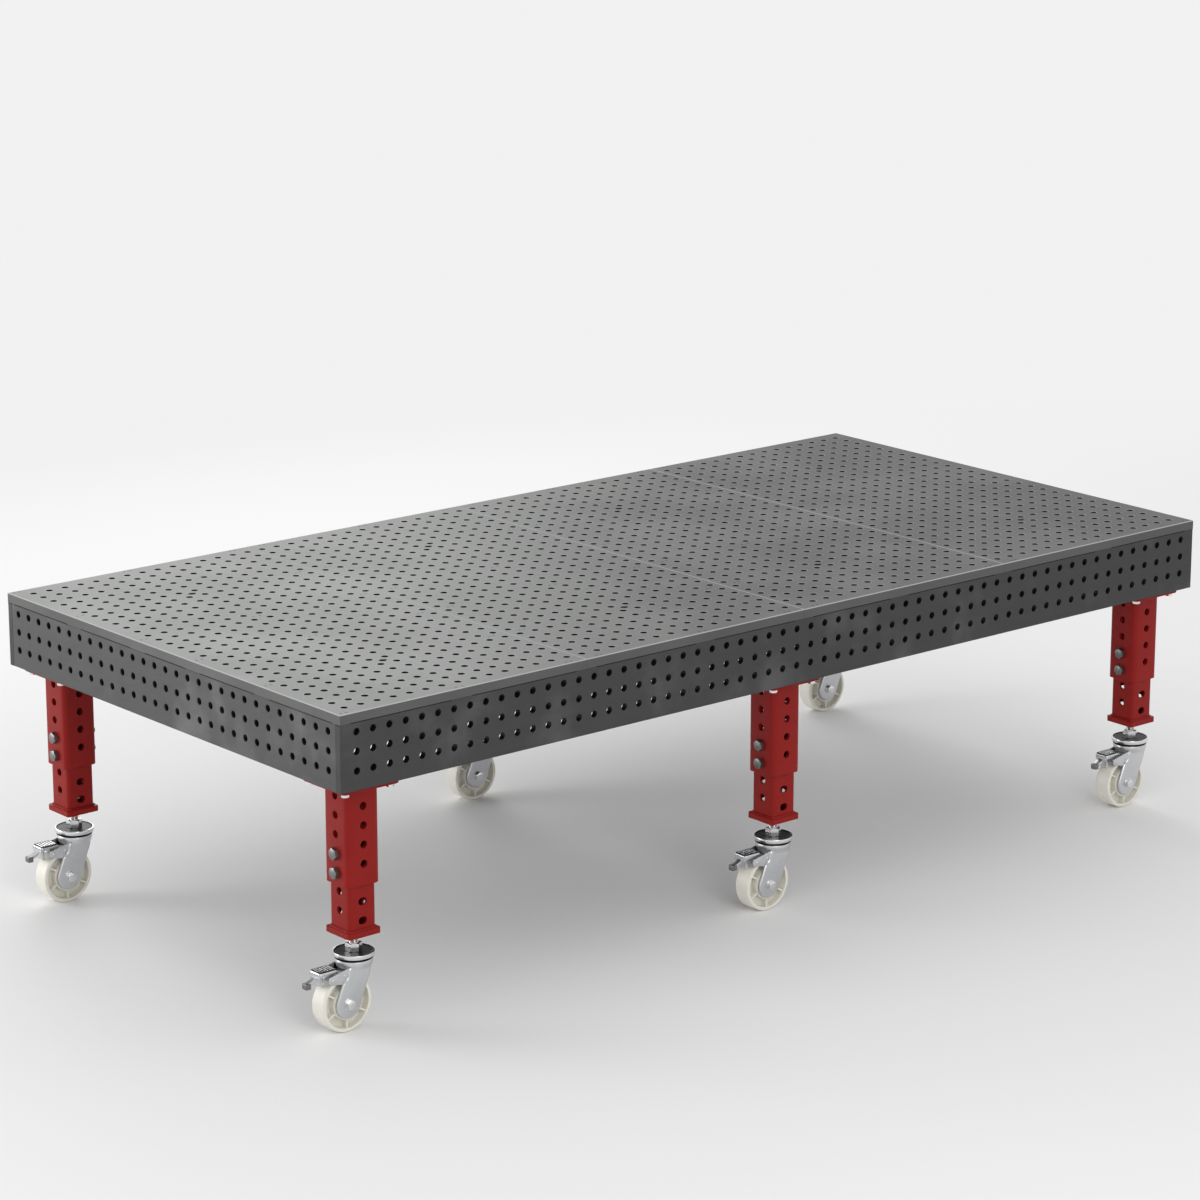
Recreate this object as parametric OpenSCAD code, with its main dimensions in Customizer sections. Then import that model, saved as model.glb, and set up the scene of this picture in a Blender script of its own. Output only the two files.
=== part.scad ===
// Welding fixture table on six height-adjustable legs with total-lock casters.
// Frame: X along the long side, Y to the back, Z up, origin on the floor at the centre.

/* [Table top] */
// Distance between the fixture holes
pitch = 50.8; // [46:0.2:56]
// Hole pitches in one top plate between two seams
plate_pitches = 15; // [13:1:16]
// Hole pitches across the table
pitches_y = 30; // [28:2:32]
// Diameter of a fixture hole
hole_d = 19.05; // [12:0.05:22]
// Thickness of a top plate
top_t = 25.4; // [16:0.1:28]
// Height of the finished work surface above the floor
table_h = 869.95; // [850:0.05:900]
// Gap at the seam between two top plates
seam_gap = 0.5; // [0.2:0.1:1]
// Depth of a small dowel mark in the top
dimple_t = 1.5; // [0.5:0.5:3]
// Diameter of a small dowel mark in the top
dimple_d = 7; // [3:0.5:8]

/* [Side plates and ribs] */
// Height of a side plate
side_h = 177.8; // [160:0.1:190]
// Thickness of a side plate
side_t = 19.05; // [12:0.05:22]
// Depth of the first row of side holes below the top plate
side_row_drop = 25.4; // [22:0.1:30]
// Shadow gap between a side plate and the top, away from the tabs
shadow_gap = 2; // [1:0.1:3]
// Length of a weld tab that bridges the shadow gap
tab_len = 66; // [40:1:80]
// Thickness of the inner ribs
rib_t = 12.7; // [8:0.1:16]
// Height of the inner ribs' lower edges above those of the side plates
rib_rise = 25.4; // [14:0.1:30]
// Depth of the middle rib's end pieces above the middle legs
rib_notch_h = 25.4; // [15:0.1:30]
// Clearance in the slots where the ribs cross
rib_clear = 0.4; // [0.2:0.1:0.5]
// Distance of a lifting line from its plate seam, in pitches
lift_pitches = 8; // [7:1:8]
// Distance of the outer long ribs from the centre line, as a share of the pitch
outer_rib_share = 8.5; // [7.5:1:8.5]
// Distance of the inner long ribs from the centre line, as a share of the pitch
inner_rib_share = 2.5; // [1.5:1:3.5]

/* [Leg tubes] */
// Inset of a leg tube from the outer faces of the table
leg_inset = 63.5; // [62:0.1:70]
// Width of the outer leg tube
tube_w = 101.6; // [98:0.1:104]
// Wall of both leg tubes
tube_wall = 6.35; // [5:0.05:7]
// Outer corner radius of the outer leg tube
tube_r = 15.9; // [12:0.1:20]
// Slip clearance between the two leg tubes, each side
leg_slip = 2.4; // [1.5:0.1:3]
// Width of the square leg flange
flange_w = 177.8; // [172:0.1:182]
// Thickness of the leg flange
flange_t = 15.875; // [12:0.125:18]
// Corner radius of the leg flange
flange_r = 12.7; // [6:0.1:16]
// Distance of a flange bolt from the flange's edges
flange_bolt_edge = 19.05; // [18:0.05:20]
// Diameter of a flange bolt
flange_bolt_d = 12.7; // [10:0.1:13]
// Diameter of an index hole in the leg tubes
index_d = 20.6; // [20.4:0.1:22]
// Height of the lowest side-facing index hole above the tube's end
index_end = 31.75; // [30:0.05:34]
// Length of the slotted front index holes of the inner tube
slot_len = 26; // [24:0.5:30]
// Height of the inner tube's top above the lower edge of the side plates
inner_rise = 33.525; // [25:0.025:40]
// Thickness of the foot plate
foot_t = 15.875; // [12:0.125:18]
// Gap between the outer tube's end and the foot plate
foot_drop = 120.675; // [110:0.025:140]
// Diameter of a lock bolt
lock_d = 19.05; // [17:0.05:20]

/* [Casters] */
// Diameter of a caster wheel
wheel_d = 152.4; // [140:0.1:154]
// Width of a caster wheel
wheel_w = 50.8; // [44:0.1:52]
// Height of the fork's top above the axle
fork_rise = 110.6; // [109:0.1:113]
// Trail of the wheel axle behind the swivel axis
trail = 40; // [36:1:44]
// Outer width over the fork cheeks
fork_w = 72; // [70:0.5:76]
// Thickness of the fork plate
fork_t = 6.35; // [5:0.05:7]
// Radius of the fork's end round the axle
fork_end_r = 37.5; // [30:0.5:40]
// Diameter of the swivel cup
cup_d = 107.95; // [104:0.05:112]
// Height of the swivel cup
cup_h = 12; // [10:0.5:14]
// Diameter of the black swivel seal
seal_d = 100; // [98:0.5:102]
// Height of the black swivel seal
seal_h = 6; // [4:0.5:7]
// Diameter of the caster stud
stud_d = 25.4; // [20:0.1:26]
// Width across flats of the stud nut
stud_af = 38.1; // [34:0.1:40]
// Height of the stud nut
stud_nut_h = 22.2; // [18:0.1:24]
// Diameter of the wheel axle
axle_d = 15.875; // [12:0.125:18]
// Width of the brake pedal
pedal_w = 46; // [40:1:50]
// Length of the brake pedal's tread plate
pedal_len = 57; // [52:1:62]
// Thickness of the brake pedal's plates
pedal_t = 4; // [3:0.5:5]

/* [Hidden] */
$fn = 48;
over = 1;

// Overall sizes
plates = 4;
pitches_x = plates * plate_pitches + 1;
top_l = pitches_x * pitch;
top_w = pitches_y * pitch;
plate_z = table_h - top_t;
skirt_z = plate_z - side_h;
side_rows = 3;
rib_h = side_h - rib_rise;

// Seams and ribs, as pitches from the left end
seam_1 = plate_pitches + 1 / 2;
seam_2 = 2 * plate_pitches + 1 / 2;
seam_3 = 3 * plate_pitches + 1 / 2;
lift_xs = [seam_1 - lift_pitches, seam_1 + lift_pitches, seam_3 - lift_pitches, seam_3 + lift_pitches];
rib_xs = [lift_xs[0], seam_1, lift_xs[1], seam_2, lift_xs[2], seam_3, lift_xs[3]];
long_ribs = [-outer_rib_share, -inner_rib_share, inner_rib_share, outer_rib_share];
plate_ends = [0, seam_1, seam_2, seam_3, pitches_x];
// Dowel marks in pairs: shares of a pitch from the table's end or from a seam, and rows from the centre line
dimple_end_shares = [0.25, 0.58];
dimple_seam_shares = [0.85, 1.15];
dimple_edge_share = 14.75;
dimple_row_shares = concat([-dimple_edge_share], long_ribs, [dimple_edge_share]);

// Leg places
leg_x = top_l / 2 - leg_inset - tube_w / 2;
leg_y = top_w / 2 - leg_inset - tube_w / 2;
leg_places = [[-leg_x, -leg_y], [0, -leg_y], [leg_x, -leg_y], [-leg_x, leg_y], [0, leg_y], [leg_x, leg_y]];
flange_z = skirt_z - flange_t;
flange_bolt_c = flange_w - 2 * flange_bolt_edge;
inner_hollow = tube_w - 2 * tube_wall;
hollow_r = tube_r - tube_wall;
inner_w = inner_hollow - 2 * leg_slip;
inner_r = hollow_r + leg_slip / 2;
foot_w = tube_w;
foot_chamfer = 5;

// Hardware on the legs
bolt_hole_clear = 0.8;
flange_af = 1.5 * flange_bolt_d;
flange_head_h = 0.625 * flange_bolt_d;
flange_nut_h = 0.875 * flange_bolt_d;
washer_d = 2.1 * flange_bolt_d;
washer_t = 2.5;
flange_bolt_end = 3;
pad_t = 12.7;
pad_extra = 12.7;
pad_w = flange_w + pad_extra;
lock_af = 1.5 * lock_d;
lock_head_h = 0.65 * lock_d;
lock_nut_h = 0.84 * lock_d;
lock_end = 6;
nut_run = 0.075;

// Heights above the floor, from the caster up to the leg tubes
wheel_r = wheel_d / 2;
fork_top = wheel_r + fork_rise;
swivel_gap = 0.3;
seal_z = fork_top + swivel_gap;
cup_top = seal_z + seal_h + cup_h;
stud_show = 47.5;
foot_bottom = cup_top + stud_show;
foot_z = foot_bottom + foot_t;
inner_len = skirt_z + inner_rise - foot_z;
tube_z = foot_z + foot_drop;
tube_len = flange_z - tube_z;
lock_zs = [tube_z + index_end, tube_z + index_end + pitch];

// Rows of index holes: those of the outer tube, and those of the inner tube below and above the lower bolt
index_rows = floor((tube_len - index_end - index_d) / pitch) + 1;
inner_edge_share = 0.4;
rows_below = floor((lock_zs[0] - foot_z) / pitch - inner_edge_share);
rows_above = floor((foot_z + inner_len - lock_zs[0]) / pitch - inner_edge_share);
cup_dish = 1.5;
cup_rim = 6;
cup_round = 3;
kingpin_d = 30;
kingpin_run = 0.05;
kingpin_end = 4;
kingpin_head_d = 40;
stud_top_nut = 9;
stud_hole_clear = 0.3;
crown_inset = 1;
crown_d = seal_d - 2 * crown_inset;
crown_h = 22;
cheek_in = fork_w / 2 - fork_t;
axle_run = 0.05;
axle_hole_clear = 0.2;
axle_af = 1.5 * axle_d;
axle_head_h = 0.63 * axle_d;
axle_nut_h = 0.88 * axle_d;
axle_end = 4;
hub_r = 43;
hub_gap = 1.6;
rim_t = 10;
rim_edge = 3;
web_t = 7;
rib_count = 6;
wheel_rib_t = 5;
wheel_rib_in = 4;

// Fork cheek outline, in distances from the swivel axis and from the axle's height
cheek_front = 33;
cheek_top = 98;
cheek_front_low = 28;
cheek_front_low_z = 76;
cheek_arc_back = 2;
cheek_arc_from = -22;
cheek_arc_to = -200;
arm_root = 33;
arm_top_z = 94;
arm_out = 102;
arm_out_top_z = 84;
arm_out_low_z = 68;
arm_low_x = 60;
arm_low_z = 57;
web_low_z = 62;
web_t_front = 5;

// Brake pedal, in distances behind the axle and heights above it
pedal_back = 26;
pedal_rise = 97.8;
pivot_back = 48;
pivot_rise = 72.8;
pivot_d = 8;
pivot_run = 0.05;
barrel_d = 16;
pedal_side_h = 12;
pedal_lip_h = 20;
tab_back_0 = 98;
tab_back_1 = 116;
tab_rise_0 = 56.8;
tab_rise_1 = 72.8;
tab_w = 18;
shoe_w = 30;
shoe_back = 68;
shoe_rise = 55.8;
shoe_t = 7;
pedal_x = -trail - pedal_back;
pedal_z = wheel_r + pedal_rise;
pivot_x = -trail - pivot_back;
pivot_z = wheel_r + pivot_rise;
tab_x0 = -trail - tab_back_0;
tab_x1 = -trail - tab_back_1;
tab_z0 = wheel_r + tab_rise_0;
tab_z1 = wheel_r + tab_rise_1;
shoe_x = -trail - shoe_back;
shoe_z = wheel_r + shoe_rise;
tread_rib_t = 1.6;
tread_rib_h = 1.2;
tread_ribs = 5;

// The brake levers reach past the left end, so this centres the frame on the whole table
frame_x = (leg_x - tab_x1 - top_l / 2) / 2;

function rounded(w, r, n) = [for (q = [0:3]) for (i = [0:n])
    let (a = 90 * q + 90 * i / n, sx = (q == 0 || q == 3) ? 1 : -1, sy = q < 2 ? 1 : -1)
    [sx * (w / 2 - r) + r * cos(a), sy * (w / 2 - r) + r * sin(a)]];
function arc(cx, cy, r, a0, a1, n) = [for (i = [0:n])
    let (a = a0 + (a1 - a0) * i / n) [cx + r * cos(a), cy + r * sin(a)]];
function px(k) = k * pitch - top_l / 2;
function py(k) = k * pitch - top_w / 2;

module framed() {
    translate([frame_x, 0, 0])
        children();
}

module at_leg(k) {
    translate([frame_x + leg_places[k - 1][0], leg_places[k - 1][1], 0])
        children();
}

module hex_bar(af, h) {
    cylinder(d = af / cos(30), h = h, $fn = 6);
}

module hole_grid(x0, x1) {
    for (i = [1:pitches_x - 1])
        if (i > x0 && i < x1)
            for (j = [1:pitches_y - 1])
                translate([px(i), py(j)])
                    circle(d = hole_d, $fn = 24);
    for (x = lift_xs)
        if (x > x0 && x < x1)
            for (s = [-1, 1])
                translate([px(x), s * outer_rib_share * pitch])
                    circle(d = hole_d, $fn = 24);
}

module top_plate(k) {
    x0 = plate_ends[k - 1];
    x1 = plate_ends[k];
    gap0 = k == 1 ? 0 : seam_gap / 2;
    gap1 = k == plates ? 0 : seam_gap / 2;
    near = k == 1 ? dimple_end_shares : dimple_seam_shares;
    far = k == plates ? dimple_end_shares : dimple_seam_shares;
    color([0.70, 0.71, 0.70])
        framed() difference() {
            translate([0, 0, plate_z])
                linear_extrude(top_t)
                    difference() {
                        translate([px(x0) + gap0, -top_w / 2])
                            square([(x1 - x0) * pitch - gap0 - gap1, top_w]);
                        hole_grid(x0, x1);
                    }
            for (y = dimple_row_shares)
                for (i = [0, 1])
                    for (x = [x0 + near[i], x1 - far[i]])
                        translate([px(x), y * pitch, table_h - dimple_t])
                            cylinder(d = dimple_d, h = dimple_t + over, $fn = 24);
        }
}

module side_sheet(len, count, tabs) {
    linear_extrude(side_t)
        difference() {
            union() {
                translate([-len / 2, 0])
                    square([len, side_h - shadow_gap]);
                intersection() {
                    translate([-len / 2, side_h - shadow_gap - over])
                        square([len, shadow_gap + over]);
                    for (x = tabs)
                        translate([x - tab_len / 2, side_h - shadow_gap - over])
                            square([tab_len, shadow_gap + over]);
                }
            }
            for (i = [1:count - 1])
                for (j = [0:side_rows - 1])
                    translate([(i - count / 2) * pitch, side_h - side_row_drop - j * pitch])
                        circle(d = hole_d, $fn = 24);
        }
}

module side_long() {
    tabs = concat([-top_l / 2], [for (x = rib_xs) px(x)], [top_l / 2]);
    color([0.30, 0.31, 0.31])
        translate([0, -top_w / 2 + side_t, skirt_z])
            rotate([90, 0, 0])
                side_sheet(top_l, pitches_x, tabs);
}

module side_front() {
    framed()
        side_long();
}

module side_back() {
    framed()
        mirror([0, 1, 0])
            side_long();
}

module side_short() {
    tabs = concat([-top_w / 2], [for (y = long_ribs) y * pitch], [top_w / 2]);
    color([0.42, 0.42, 0.42])
        translate([-top_l / 2, 0, skirt_z])
            rotate([90, 0, 90])
                side_sheet(top_w - 2 * side_t, pitches_y, tabs);
}

module side_left() {
    framed()
        side_short();
}

module side_right() {
    framed()
        mirror([1, 0, 0])
            side_short();
}

module rib_slots(places, z) {
    for (p = places)
        translate([p - rib_t / 2 - rib_clear, z])
            square([rib_t + 2 * rib_clear, rib_h / 2 + rib_clear + over]);
}

module cross_rib(x) {
    end_y = top_w / 2 - side_t;
    notch_y = leg_y - flange_w / 2;
    deep_y = x == seam_2 ? notch_y - rib_clear : end_y;
    translate([px(x) - rib_t / 2, 0, plate_z - rib_h])
        rotate([90, 0, 90])
            linear_extrude(rib_t)
                difference() {
                    translate([-deep_y, 0])
                        square([2 * deep_y, rib_h]);
                    rib_slots([for (y = long_ribs) y * pitch], -over);
                }
    if (x == seam_2)
        for (s = [-1, 1])
            translate([px(x) - rib_t / 2, s > 0 ? notch_y : -end_y, plate_z - rib_notch_h])
                cube([rib_t, end_y - notch_y, rib_notch_h]);
}

module long_rib(y) {
    end_x = top_l / 2 - side_t;
    translate([0, y + rib_t / 2, plate_z - rib_h])
        rotate([90, 0, 0])
            linear_extrude(rib_t)
                difference() {
                    translate([-end_x, 0])
                        square([2 * end_x, rib_h]);
                    rib_slots([for (x = rib_xs) px(x)], rib_h / 2 - rib_clear);
                }
}

module ribs() {
    color([0.36, 0.36, 0.36])
        framed() {
            for (x = rib_xs)
                cross_rib(x);
            for (y = long_ribs)
                long_rib(y * pitch);
        }
}

module leg_pads() {
    reach = leg_inset + tube_w / 2 - side_t;
    color([0.36, 0.36, 0.36])
        for (k = [1:6]) {
            sx = sign(leg_places[k - 1][0]);
            sy = sign(leg_places[k - 1][1]);
            left = sx < 0 ? reach : pad_w / 2;
            right = sx > 0 ? reach : pad_w / 2;
            front = sy < 0 ? reach : pad_w / 2;
            back = sy > 0 ? reach : pad_w / 2;
            at_leg(k)
                translate([0, 0, skirt_z])
                    linear_extrude(pad_t)
                        difference() {
                            translate([-left, -front])
                                square([left + right, front + back]);
                            polygon(rounded(inner_hollow, hollow_r, 6));
                            flange_holes();
                        }
        }
}

module flange_holes() {
    for (i = [-1, 1])
        for (j = [-1, 1])
            translate([i * flange_bolt_c / 2, j * flange_bolt_c / 2])
                circle(d = flange_bolt_d + 2 * bolt_hole_clear);
}

module flange_bolt() {
    translate([0, 0, flange_z - washer_t])
        cylinder(d = washer_d, h = washer_t);
    translate([0, 0, flange_z - washer_t - flange_head_h])
        hex_bar(flange_af, flange_head_h);
    translate([0, 0, flange_z - washer_t - over])
        cylinder(d = flange_bolt_d, h = over + washer_t + flange_t + pad_t + flange_nut_h + flange_bolt_end);
    translate([0, 0, skirt_z + pad_t])
        hex_bar(flange_af, flange_nut_h);
}

module flange_bolts() {
    color([0.75, 0.76, 0.78])
        for (k = [1:6])
            at_leg(k)
                for (i = [-1, 1])
                    for (j = [-1, 1])
                        translate([i * flange_bolt_c / 2, j * flange_bolt_c / 2, 0])
                            flange_bolt();
}

module leg_flanges() {
    color([0.62, 0.10, 0.08])
        for (k = [1:6])
            at_leg(k)
                translate([0, 0, flange_z])
                    linear_extrude(flange_t)
                        difference() {
                            polygon(rounded(flange_w, flange_r, 6));
                            polygon(rounded(inner_hollow, hollow_r, 6));
                            flange_holes();
                        }
}

module leg_tube(k) {
    color([0.62, 0.10, 0.08])
        at_leg(k) {
            difference() {
                translate([0, 0, tube_z])
                    linear_extrude(tube_len)
                        difference() {
                            polygon(rounded(tube_w, tube_r, 6));
                            polygon(rounded(inner_hollow, hollow_r, 6));
                        }
                for (i = [0:index_rows - 1])
                    translate([-tube_w, 0, tube_z + index_end + i * pitch])
                        rotate([0, 90, 0])
                            cylinder(d = index_d, h = 2 * tube_w);
                for (i = [0:index_rows - 2])
                    translate([0, tube_w, tube_z + index_end + (i + 1 / 2) * pitch])
                        rotate([90, 0, 0])
                            cylinder(d = index_d, h = 2 * tube_w);
            }
            for (z = lock_zs)
                translate([tube_w / 2, 0, z])
                    rotate([0, 90, 0])
                        difference() {
                            hex_bar(lock_af, lock_nut_h);
                            translate([0, 0, -over])
                                cylinder(d = lock_d + 2 * nut_run, h = lock_nut_h + 2 * over);
                        }
        }
}

module inner_leg(k) {
    half = foot_w / 2;
    cut = half - foot_chamfer;
    color([0.66, 0.11, 0.09])
        at_leg(k) {
            difference() {
                translate([0, 0, foot_z])
                    linear_extrude(inner_len)
                        difference() {
                            polygon(rounded(inner_w, inner_r, 6));
                            polygon(rounded(inner_w - 2 * tube_wall, inner_r / 2, 6));
                        }
                for (i = [-rows_below:rows_above])
                    translate([-tube_w, 0, lock_zs[0] + i * pitch])
                        rotate([0, 90, 0])
                            cylinder(d = index_d, h = 2 * tube_w);
                for (i = [-rows_below:rows_above])
                    translate([0, tube_w, lock_zs[0] + (i - 1 / 2) * pitch])
                        rotate([90, 0, 0])
                            linear_extrude(2 * tube_w) {
                                for (s = [-1, 1])
                                    translate([s * (slot_len - index_d) / 2, 0])
                                        circle(d = index_d);
                                square([slot_len - index_d, index_d], center = true);
                            }
            }
            translate([0, 0, foot_bottom])
                linear_extrude(foot_t)
                    difference() {
                        polygon([[half, cut], [cut, half], [-cut, half], [-half, cut],
                                 [-half, -cut], [-cut, -half], [cut, -half], [half, -cut]]);
                        circle(d = stud_d + 2 * stud_hole_clear);
                    }
        }
}

module lock_bolts(k) {
    color([0.52, 0.55, 0.55])
        at_leg(k)
            for (z = lock_zs)
                translate([-tube_w / 2 - lock_head_h, 0, z])
                    rotate([0, 90, 0]) {
                        hex_bar(lock_af, lock_head_h);
                        cylinder(d = lock_d, h = lock_head_h + tube_w + lock_nut_h + lock_end);
                    }
}

module stem(k) {
    stud_top = foot_z + stud_nut_h + stud_top_nut;
    color([0.80, 0.81, 0.83])
        at_leg(k) {
            translate([0, 0, cup_top - cup_dish - over])
                cylinder(d = stud_d, h = stud_top - cup_top + cup_dish + over);
            translate([0, 0, foot_z])
                hex_bar(stud_af, stud_nut_h);
            translate([0, 0, cup_top - cup_dish])
                hex_bar(stud_af, stud_nut_h + cup_dish);
            rotate_extrude($fn = 96)
                polygon([[0, seal_z], [seal_d / 2, seal_z], [seal_d / 2, seal_z + seal_h],
                         [cup_d / 2 - cup_round, seal_z + seal_h],
                         [cup_d / 2, seal_z + seal_h + cup_round],
                         [cup_d / 2, cup_top - cup_dish], [cup_d / 2 - cup_dish, cup_top],
                         [cup_d / 2 - cup_rim, cup_top], [cup_d / 2 - cup_rim - cup_dish, cup_top - cup_dish],
                         [0, cup_top - cup_dish]]);
            translate([0, 0, fork_top - crown_h - swivel_gap - over])
                cylinder(d = kingpin_d, h = crown_h + 2 * swivel_gap + 2 * over);
            translate([0, 0, fork_top - crown_h - swivel_gap - kingpin_end])
                cylinder(d = kingpin_head_d, h = kingpin_end);
        }
}

module cheek_outline() {
    polygon(concat(
        [[cheek_front, wheel_r + cheek_top], [cheek_front_low, wheel_r + cheek_front_low_z]],
        arc(-trail - cheek_arc_back, wheel_r, fork_end_r, cheek_arc_from, cheek_arc_to, 28),
        [[-arm_low_x, wheel_r + arm_low_z], [-arm_out + pivot_d, wheel_r + arm_out_low_z - pivot_d / 2],
         [-arm_out, wheel_r + arm_out_low_z], [-arm_out, wheel_r + arm_out_top_z - pivot_d / 2],
         [-arm_out + pivot_d / 2, wheel_r + arm_out_top_z],
         [-arm_root - cheek_front / 2, wheel_r + arm_top_z],
         [-arm_root, wheel_r + cheek_top]]));
}

module fork(k) {
    color([0.66, 0.67, 0.69])
        at_leg(k)
            difference() {
                union() {
                    for (s = [-1, 1])
                        translate([0, s > 0 ? fork_w / 2 : -cheek_in, 0])
                            rotate([90, 0, 0])
                                linear_extrude(fork_t)
                                    cheek_outline();
                    translate([0, 0, fork_top - crown_h])
                        cylinder(d = crown_d, h = crown_h, $fn = 96);
                    translate([0, cheek_in + over, 0])
                        rotate([90, 0, 0])
                            linear_extrude(2 * cheek_in + 2 * over)
                                polygon([[cheek_front, wheel_r + cheek_top],
                                         [cheek_front - web_t_front, wheel_r + cheek_top],
                                         [cheek_front_low - 2 * web_t_front, wheel_r + web_low_z],
                                         [cheek_front_low - web_t_front, wheel_r + web_low_z],
                                         [cheek_front_low, wheel_r + cheek_front_low_z]]);
                    translate([pivot_x, fork_w / 2 - fork_t / 2, pivot_z])
                        rotate([90, 0, 0])
                            cylinder(d = pivot_d, h = fork_w - fork_t);
                }
                translate([0, 0, fork_top - crown_h - over])
                    cylinder(d = kingpin_d + 2 * kingpin_run, h = crown_h + 2 * over);
                translate([-trail, fork_w, wheel_r])
                    rotate([90, 0, 0])
                        cylinder(d = axle_d + 2 * axle_hole_clear, h = 2 * fork_w);
            }
}

module wheel(k) {
    half = wheel_w / 2;
    hub_half = cheek_in - hub_gap;
    color([0.85, 0.83, 0.76])
        at_leg(k)
            translate([-trail, 0, wheel_r])
                rotate([90, 0, 0]) {
                    rotate_extrude($fn = 96)
                        polygon([[axle_d / 2 + axle_run, -hub_half], [hub_r / 2, -hub_half],
                                 [hub_r / 2, -half], [hub_r, -half], [hub_r, -web_t / 2],
                                 [wheel_r - rim_t, -web_t / 2], [wheel_r - rim_t, -half],
                                 [wheel_r - rim_edge, -half], [wheel_r, -half + rim_edge],
                                 [wheel_r, half - rim_edge], [wheel_r - rim_edge, half],
                                 [wheel_r - rim_t, half], [wheel_r - rim_t, web_t / 2],
                                 [hub_r, web_t / 2], [hub_r, half], [hub_r / 2, half],
                                 [hub_r / 2, hub_half], [axle_d / 2 + axle_run, hub_half]]);
                    for (i = [0:rib_count - 1])
                        rotate([0, 0, 30 + i * 360 / rib_count])
                            translate([hub_r - over, -wheel_rib_t / 2, -half + wheel_rib_in])
                                cube([wheel_r - rim_t - hub_r + 2 * over, wheel_rib_t,
                                      wheel_w - 2 * wheel_rib_in]);
                }
}

module axle_bolt(k) {
    color([0.75, 0.76, 0.78])
        at_leg(k)
            translate([-trail, 0, wheel_r])
                rotate([90, 0, 0]) {
                    translate([0, 0, fork_w / 2])
                        hex_bar(axle_af, axle_head_h);
                    translate([0, 0, -fork_w / 2 - axle_nut_h])
                        hex_bar(axle_af, axle_nut_h);
                    translate([0, 0, -fork_w / 2 - axle_nut_h - axle_end])
                        cylinder(d = axle_d, h = fork_w + axle_nut_h + axle_end + over);
                }
}

module brake_pedal(k) {
    outer_x = pedal_x - pedal_len;
    color([0.66, 0.67, 0.69])
        at_leg(k)
            difference() {
                union() {
                    translate([outer_x, -pedal_w / 2, pedal_z - pedal_t])
                        cube([pedal_len, pedal_w, pedal_t]);
                    for (i = [0:tread_ribs - 1])
                        translate([outer_x + (i + 1 / 2) * pedal_len / tread_ribs - tread_rib_t / 2,
                                   -pedal_w / 2, pedal_z - over])
                            cube([tread_rib_t, pedal_w, over + tread_rib_h]);
                    for (s = [-1, 1])
                        translate([outer_x, s > 0 ? pedal_w / 2 - pedal_t : -pedal_w / 2,
                                   pedal_z - pedal_side_h])
                            cube([pedal_len, pedal_t, pedal_side_h]);
                    translate([outer_x, -pedal_w / 2, pedal_z - pedal_lip_h])
                        cube([pedal_t, pedal_w, pedal_lip_h]);
                    translate([pivot_x, pedal_w / 2, pivot_z])
                        rotate([90, 0, 0])
                            cylinder(d = barrel_d, h = pedal_w);
                    translate([pivot_x - barrel_d / 2, -pedal_w / 2, pivot_z])
                        cube([barrel_d, pedal_w, pedal_z - pedal_t / 2 - pivot_z]);
                    translate([0, shoe_w / 2, 0])
                        rotate([90, 0, 0])
                            linear_extrude(shoe_w)
                                polygon([[shoe_x, pedal_z - pedal_t / 2], [shoe_x, shoe_z + shoe_t],
                                         [shoe_x + shoe_t, shoe_z], [shoe_x - shoe_t / 2, shoe_z],
                                         [shoe_x - shoe_t, shoe_z + shoe_t / 2],
                                         [shoe_x - shoe_t, pedal_z - pedal_t / 2]]);
                    translate([0, tab_w / 2, 0])
                        rotate([90, 0, 0])
                            linear_extrude(tab_w)
                                polygon([[outer_x + pedal_t, pedal_z - pedal_lip_h],
                                         [outer_x, pedal_z - pedal_lip_h + pedal_t],
                                         [outer_x - pedal_t, pedal_z - pedal_lip_h],
                                         [tab_x1, tab_z1 - pedal_t], [tab_x1, tab_z0],
                                         [tab_x0, tab_z0], [tab_x0 + pedal_t, tab_z1 - pedal_t]]);
                }
                translate([pivot_x, pedal_w, pivot_z])
                    rotate([90, 0, 0])
                        cylinder(d = pivot_d + 2 * pivot_run, h = 2 * pedal_w);
            }
}

top_plate(1);  // top_plate_1
top_plate(2);  // top_plate_2
top_plate(3);  // top_plate_3
top_plate(4);  // top_plate_4
side_front();
side_back();
side_left();
side_right();
ribs();
leg_pads();
leg_flanges();
flange_bolts();
leg_tube(1);  // leg_tube_1
leg_tube(2);  // leg_tube_2
leg_tube(3);  // leg_tube_3
leg_tube(4);  // leg_tube_4
leg_tube(5);  // leg_tube_5
leg_tube(6);  // leg_tube_6
inner_leg(1);  // inner_leg_1
inner_leg(2);  // inner_leg_2
inner_leg(3);  // inner_leg_3
inner_leg(4);  // inner_leg_4
inner_leg(5);  // inner_leg_5
inner_leg(6);  // inner_leg_6
lock_bolts(1);  // lock_bolts_1
lock_bolts(2);  // lock_bolts_2
lock_bolts(3);  // lock_bolts_3
lock_bolts(4);  // lock_bolts_4
lock_bolts(5);  // lock_bolts_5
lock_bolts(6);  // lock_bolts_6
stem(1);  // stem_1
stem(2);  // stem_2
stem(3);  // stem_3
stem(4);  // stem_4
stem(5);  // stem_5
stem(6);  // stem_6
fork(1);  // fork_1
fork(2);  // fork_2
fork(3);  // fork_3
fork(4);  // fork_4
fork(5);  // fork_5
fork(6);  // fork_6
wheel(1);  // wheel_1
wheel(2);  // wheel_2
wheel(3);  // wheel_3
wheel(4);  // wheel_4
wheel(5);  // wheel_5
wheel(6);  // wheel_6
axle_bolt(1);  // axle_bolt_1
axle_bolt(2);  // axle_bolt_2
axle_bolt(3);  // axle_bolt_3
axle_bolt(4);  // axle_bolt_4
axle_bolt(5);  // axle_bolt_5
axle_bolt(6);  // axle_bolt_6
brake_pedal(1);  // brake_pedal_1
brake_pedal(2);  // brake_pedal_2
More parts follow.
